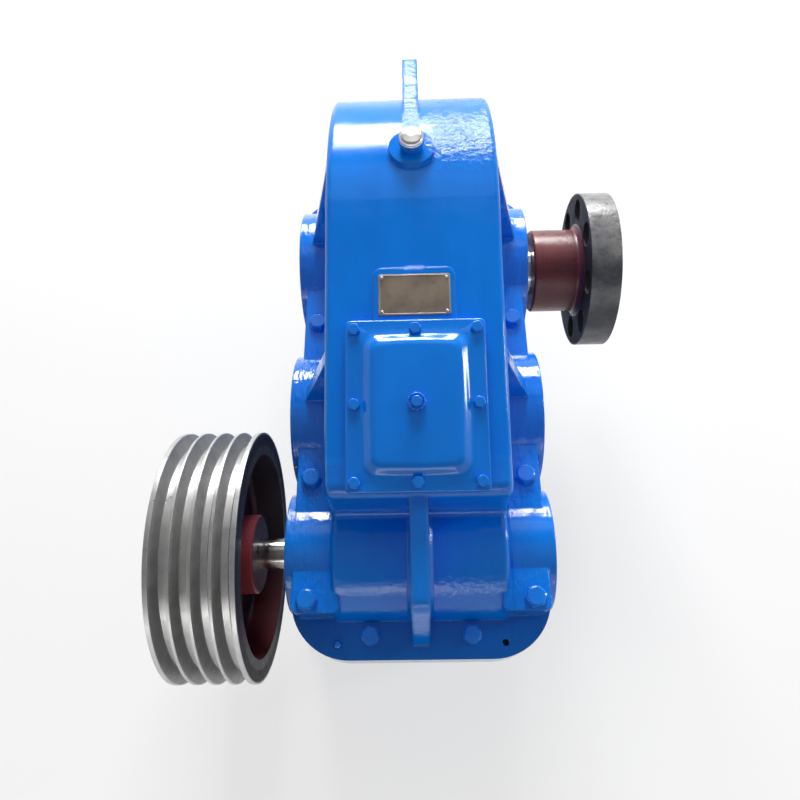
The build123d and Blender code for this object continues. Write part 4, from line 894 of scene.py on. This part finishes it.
# Each ring is (inset from the edge, share of the thickness)
plate_rings = [
    (0.0, 0.0),
    (0.0, 0.6),
    (0.0002, 0.8),
    (0.0009, 0.8),
    (0.0012, 1.0),
    (0.0015, 1.0),
    (0.0018, 0.7),
]
loops = [
    rounded_loop(
        plate_spot,
        plate_half - inset,
        plate_rise - inset,
        max(plate_corner - inset, 0.0004),
        plate_thick * share,
    )
    for inset, share in plate_rings
]
vertices, faces = stacked(loops)
loop_size = len(loops[0])
shares = [1 if loop_size <= i < len(faces) - 2 else 0 for i in range(len(faces))]
plate_bare = plain_metal("nameplate_bare", plate_bronze, plate_stain, 0.36, 0.35, depth=0.0003)
plate_rim = plain_metal("nameplate_rim", plate_edge, plate_bronze, 0.42, 0.4)
piece(
    "nameplate_detail",
    [(vertices, faces)],
    "housing",
    [plate_bare, plate_rim],
    ["nameplate"],
    shares=shares,
)
shapes = []
for points in islands("nameplate_rivets"):
    foot, levels = measured(points, plate_axis)
    low, reach = levels[0]
    rise = levels[-1][0] - low
    profile = [(0, rise)]
    for step in range(1, 6):
        angle = step * pi / 10
        profile.append((reach * sin(angle), rise * cos(angle)))
    profile.append((0, 0))
    shapes.append(lathe(spot(foot + plate_axis * low, plate_axis), profile, small_segments))
rivet_metal = plain_metal("rivet_aluminium", *steel)
piece(
    "nameplate_rivets_detail",
    shapes,
    "housing",
    [rivet_metal],
    ["nameplate_rivets"],
)

# Inspection cover: a flange plate with rounded edges and a deep-drawn pan
cover_points = islands("inspection_cover")[0]
cover_foot, cover_levels = measured(cover_points, plate_axis)
cover_base, cover_top = cover_levels[0][0], cover_levels[-1][0]
cover_half = max(point.x for point in cover_points)
cover_rise = max((point - cover_foot).dot(plate_up) for point in cover_points)
flange_reach = 0.09
pan_root = max(height for height, reach in cover_levels if reach > flange_reach) - cover_base
pan_top = cover_top - cover_base
cover_spot = spot(cover_foot + plate_axis * cover_base, plate_axis)
pan_half, pan_rise = 0.0478, 0.0643
pan_bulge = 0.0009

# Each ring is (inset, height, corner radius), the pan's height as a share of its own rise
flange_rings = [
    (0.0, 0.0, 0.004),
    (0.0, pan_root - 0.0016, 0.004),
    (0.0004, pan_root - 0.0006, 0.0038),
    (0.0014, pan_root, 0.0034),
]
pan_height = pan_top - pan_root
pan_rings = [
    (-0.0026, 0.0, 0.0125),
    (-0.0010, 0.07, 0.0120),
    (0.0005, 0.20, 0.0115),
    (0.0020, 0.358, 0.0110),
    (0.0035, 0.517, 0.0105),
    (0.0050, 0.675, 0.0100),
    (0.0066, 0.82, 0.0095),
    (0.0084, 0.93, 0.0090),
    (0.0102, 0.98, 0.0085),
    (0.0122, 1.0, 0.0080),
]
loops = [
    rounded_loop(cover_spot, cover_half - inset, cover_rise - inset, corner, height)
    for inset, height, corner in flange_rings
]
loops += [
    rounded_loop(
        cover_spot,
        pan_half - inset,
        pan_rise - inset,
        corner,
        pan_root + share * pan_height,
        bulge=pan_bulge * min(1.0, 2 * share),
    )
    for inset, share, corner in pan_rings
]
piece(
    "inspection_cover_pan",
    [stacked(loops)],
    "housing",
    [cover_paint],
    ["inspection_cover"],
)

# Blind end covers with a dished middle, and shaft seals with a metal case and a lip
blind_covers = (
    "input_blind_cover",
    "output_blind_cover",
    "intermediate_left_cover",
    "intermediate_right_cover",
)
for node in blind_covers:
    out = 1 if middle(node).x > 0 else -1
    foot, levels = measured(islands(node)[0], (out, 0, 0))
    (inner, main), (lock_start, _), (lock_end, _) = levels[:3]
    rim_radius = max(reach for _, reach in levels)
    depth = levels[-1][0] - inner
    dish = depth - 0.0045
    profile = [
        (0, dish),
        (0.16 * main, dish),
        (0.19 * main, depth - 0.0025),
        (0.22 * main, dish),
        (0.56 * main, dish),
        (0.66 * main, depth - 0.0008),
        (0.69 * main, depth),
        (main - 0.0016, depth),
        (main, depth - 0.0016),
        (main, lock_end - inner),
        (rim_radius, lock_end - inner),
        (rim_radius, lock_start - inner),
        (main, lock_start - inner),
        (main, 0),
        (0, 0),
    ]
    place = spot(foot + Vector((out, 0, 0)) * inner, (out, 0, 0))
    blue_detail(node, [lathe(place, profile, turned_segments)], cover_paint, bevel=0.0005)

case_rings = (0, 1, 2, 13)
seal_case = plain_metal("seal_case", seal_steel, iron_dark)
seal_rubber = rubber("seal_rubber", rubber_black)
for node, out in (("input_oil_seal", -1), ("output_oil_seal", 1)):
    points = islands(node)[0]
    foot, levels = measured(points, (out, 0, 0))
    inner, outer = levels[0][0], levels[-1][0]
    case = levels[-1][1]
    hole = min((point - Vector((point.x, 0, 0)) - foot).length for point in points)
    width = outer - inner
    profile = [
        (case, 0),
        (case, width - 0.0005),
        (case - 0.0006, width),
        (case - 0.0024, width),
        (case - 0.0028, width - 0.001),
        (case - 0.0050, width - 0.0016),
        (hole + 0.0046, width - 0.0012),
        (hole + 0.0030, width - 0.0002),
        (hole + 0.0012, width - 0.0006),
        (hole + 0.0002, width - 0.0022),
        (hole + 0.0012, width - 0.0040),
        (hole + 0.0040, width - 0.0050),
        (hole + 0.0040, 0.002),
        (case - 0.0050, 0.001),
    ]
    rings = [ring for ring in range(len(profile)) for _ in range(turned_segments)]
    shares = [int(ring in case_rings) for ring in rings]
    place = spot(foot + Vector((out, 0, 0)) * inner, (out, 0, 0))
    piece(
        f"{node}_detail",
        [lathe(place, profile, turned_segments, closed=True)],
        "housing",
        [seal_rubber, seal_case],
        [node],
        shares=shares,
    )

# Cast fillets where the pulley's web meets its hub and rim, and at the coupling's root
fillet_sink = 0.0006
pulley_fillet = 0.008
coupling_fillet = 0.007
fillet_steps = 6


def hollow_corner(radius, size, steps, outward=True):
    """Closed profile of a hollow quarter round between a cylinder, on either side, and a face."""
    sign = 1 if outward else -1
    profile = [(radius - sign * fillet_sink, size)]
    for step in range(steps + 1):
        angle = step * pi / (2 * steps)
        profile.append((radius + sign * size * (1 - cos(angle)), size * (1 - sin(angle))))
    profile += [(radius + sign * size, -fillet_sink), (radius - sign * fillet_sink, -fillet_sink)]
    return profile


def fillet_ring(axis_place, face_x, away, profile):
    place = spot(Vector((face_x, axis_place.y, axis_place.z)), (away, 0, 0))
    return lathe(place, profile, fillet_segments, closed=True)


shapes = []
for face_x, away in zip(pulley_web, (-1, 1)):
    for radius, outward in ((pulley_hub_radius, True), (rim_inside, False)):
        profile = hollow_corner(radius, pulley_fillet, fillet_steps, outward)
        shapes.append(fillet_ring(input_axis, face_x, away, profile))
pulley_primer = primer("pulley_primer", primer_red, primer_dark, 0.45)
piece("pulley_cast_fillets", shapes, "input_shaft", [pulley_primer])
profile = hollow_corner(coupling_hub_radius, coupling_fillet, fillet_steps)
shape = fillet_ring(output_axis, coupling_face_x, -1, profile)
coupling_primer = primer("coupling_primer", hub_red, hub_dust)
piece("coupling_root_fillet", [shape], "output_shaft", [coupling_primer])

# Thick paint and cast fillets where the near lifting lug stands on the drum
lug_half = 0.0085
lug_fillet = 0.0045
drum_radius = 0.075
drum_low = Vector((0, -0.0728, 0.218 - input_axis.z))
drum_high = Vector((0, 0.040, 0.063))
profile = hollow_corner(drum_radius, lug_fillet, 5)
shapes = []
for side in (-1, 1):
    place = spot(Vector((side * lug_half, input_axis.y, input_axis.z)), (side, 0, 0))
    first = angle_about(place, drum_low)
    sweep = (angle_about(place, drum_high) - first + pi) % turn - pi
    shapes.append(lathe(place, profile, lug_segments, closed=True, arc=(first, sweep)))
piece("near_lug_fillets", shapes, "housing", [paint])

# Turned end plate of the pulley with a chamfered rim
foot, levels = measured(islands("pulley_end_plate")[0], left)
inner, outer = levels[0][0], levels[-1][0]
reach = levels[0][1]
hole = 0.0055
seat_radius = hole + 0.0045
seat_sink = 0.0003
rim_chamfer = 0.0012
depth = outer - inner
profile = [
    (hole, 0),
    (reach, 0),
    (reach, depth - rim_chamfer),
    (reach - rim_chamfer, depth),
    (seat_radius, depth),
    (seat_radius, depth - seat_sink),
    (hole, depth - seat_sink),
]
place = spot(foot + Vector(left) * inner, left)
end_plate_steel = turned_metal("end_plate_steel", steel_dull, steel_bright, input_axis)
piece(
    "pulley_end_plate_detail",
    [lathe(place, profile, turned_segments, closed=True)],
    "input_shaft",
    [end_plate_steel],
    ["pulley_end_plate"],
)


# Floor, lights, world and camera
def scenery(name, vertices, faces, material):
    """A mesh object round the part."""
    mesh = bpy.data.meshes.new(name)
    mesh.from_pydata(vertices, [], faces)
    mesh.materials.append(material)
    made = bpy.data.objects.new(name, mesh)
    bpy.context.scene.collection.objects.link(made)
    return made


def seen_share(m):
    """1 for camera, glossy and transmission rays, else 0."""
    rays = m.add("ShaderNodeLightPath").outputs
    seen = m.maths("MAXIMUM", rays["Is Camera Ray"], rays["Is Glossy Ray"])
    return m.maths("MAXIMUM", seen, rays["Is Transmission Ray"])


look = Nodes("floor_pale", roughness=0.9)
look.link(look.mix(look.noise(3.0), floor_light, floor_dim), "Base Color")
distance = look.vector("LENGTH", look.place)["Value"]
share = look.ramp(distance, *shadow_reach, 1.0 - floor_shadow, 1.0)
share = look.maths("MULTIPLY", seen_share(look), share)
glow = look.add("ShaderNodeEmission", {"Color": white, "Strength": 1.0}).outputs[0]
blend = look.add("ShaderNodeMixShader", {0: share, 1: look.shader.outputs[0], 2: glow})
look.tree.links.new(blend.outputs[0], look.tree.nodes["Material Output"].inputs["Surface"])
corners = [(-floor_half, -floor_half), (floor_half, -floor_half)]
corners += [(floor_half, floor_half), (-floor_half, floor_half)]
floor_points = [(x, y, cad_low[2]) for x, y in corners]
floor = scenery("floor", floor_points, [(0, 1, 2, 3)], look.material)

# A white wall all round, far off, which gives the other views a pale background too
look = Nodes("backdrop_white", roughness=0.9)
strength = look.maths("MULTIPLY_ADD", seen_share(look), 1.0 - backdrop_glow, backdrop_glow)
glow = look.add("ShaderNodeEmission", {"Color": white, "Strength": strength}).outputs[0]
look.tree.links.new(glow, look.tree.nodes["Material Output"].inputs["Surface"])
place = spot(Vector((0, 0, cad_low[2] - backdrop_drop)), up)
profile = [(backdrop_radius, 0.0), (backdrop_radius, backdrop_height)]
wall = lathe(place, profile, wall_segments)
backdrop = scenery("backdrop", *wall, look.material)

for name, (direction, width, height, radiance) in light_panels.items():
    data = bpy.data.lights.new(name, "AREA")
    data.shape = "RECTANGLE"
    data.size = width
    data.size_y = height
    data.energy = radiance * pi * width * height
    light = bpy.data.objects.new(name, data)
    light.location = light_target + direction.normalized() * light_distance
    light.rotation_euler = (-direction).to_track_quat("-Z", "Y").to_euler()
    bpy.context.scene.collection.objects.link(light)

world = bpy.data.worlds.new("studio")
world.use_nodes = True
tree = world.node_tree
background = tree.nodes["Background"]
background.inputs["Color"].default_value = white
heading = tree.nodes.new("ShaderNodeTexCoord")
split = tree.nodes.new("ShaderNodeSeparateXYZ")
level = tree.nodes.new("ShaderNodeMapRange")
level.inputs["From Min"].default_value = -world_fade
level.inputs["From Max"].default_value = world_fade
level.inputs["To Min"].default_value = world_dim
level.inputs["To Max"].default_value = world_bright
tree.links.new(heading.outputs["Generated"], split.inputs[0])
tree.links.new(split.outputs["Y"], level.inputs["Value"])
tree.links.new(level.outputs["Result"], background.inputs["Strength"])
bpy.context.scene.world = world
bpy.context.scene.view_settings.view_transform = "Standard"

camera_data = bpy.data.cameras.new("photo_camera")
camera_data.sensor_width = sensor_mm
camera_data.lens = focal_px / image_px * sensor_mm
camera = bpy.data.objects.new("photo_camera", camera_data)
camera_right = camera_forward.cross(camera_up)
camera_turn = Matrix((camera_right, camera_up, -camera_forward)).transposed()
camera.matrix_world = Matrix.Translation(camera_place) @ camera_turn.to_4x4()
bpy.context.scene.collection.objects.link(camera)
bpy.context.scene.camera = camera
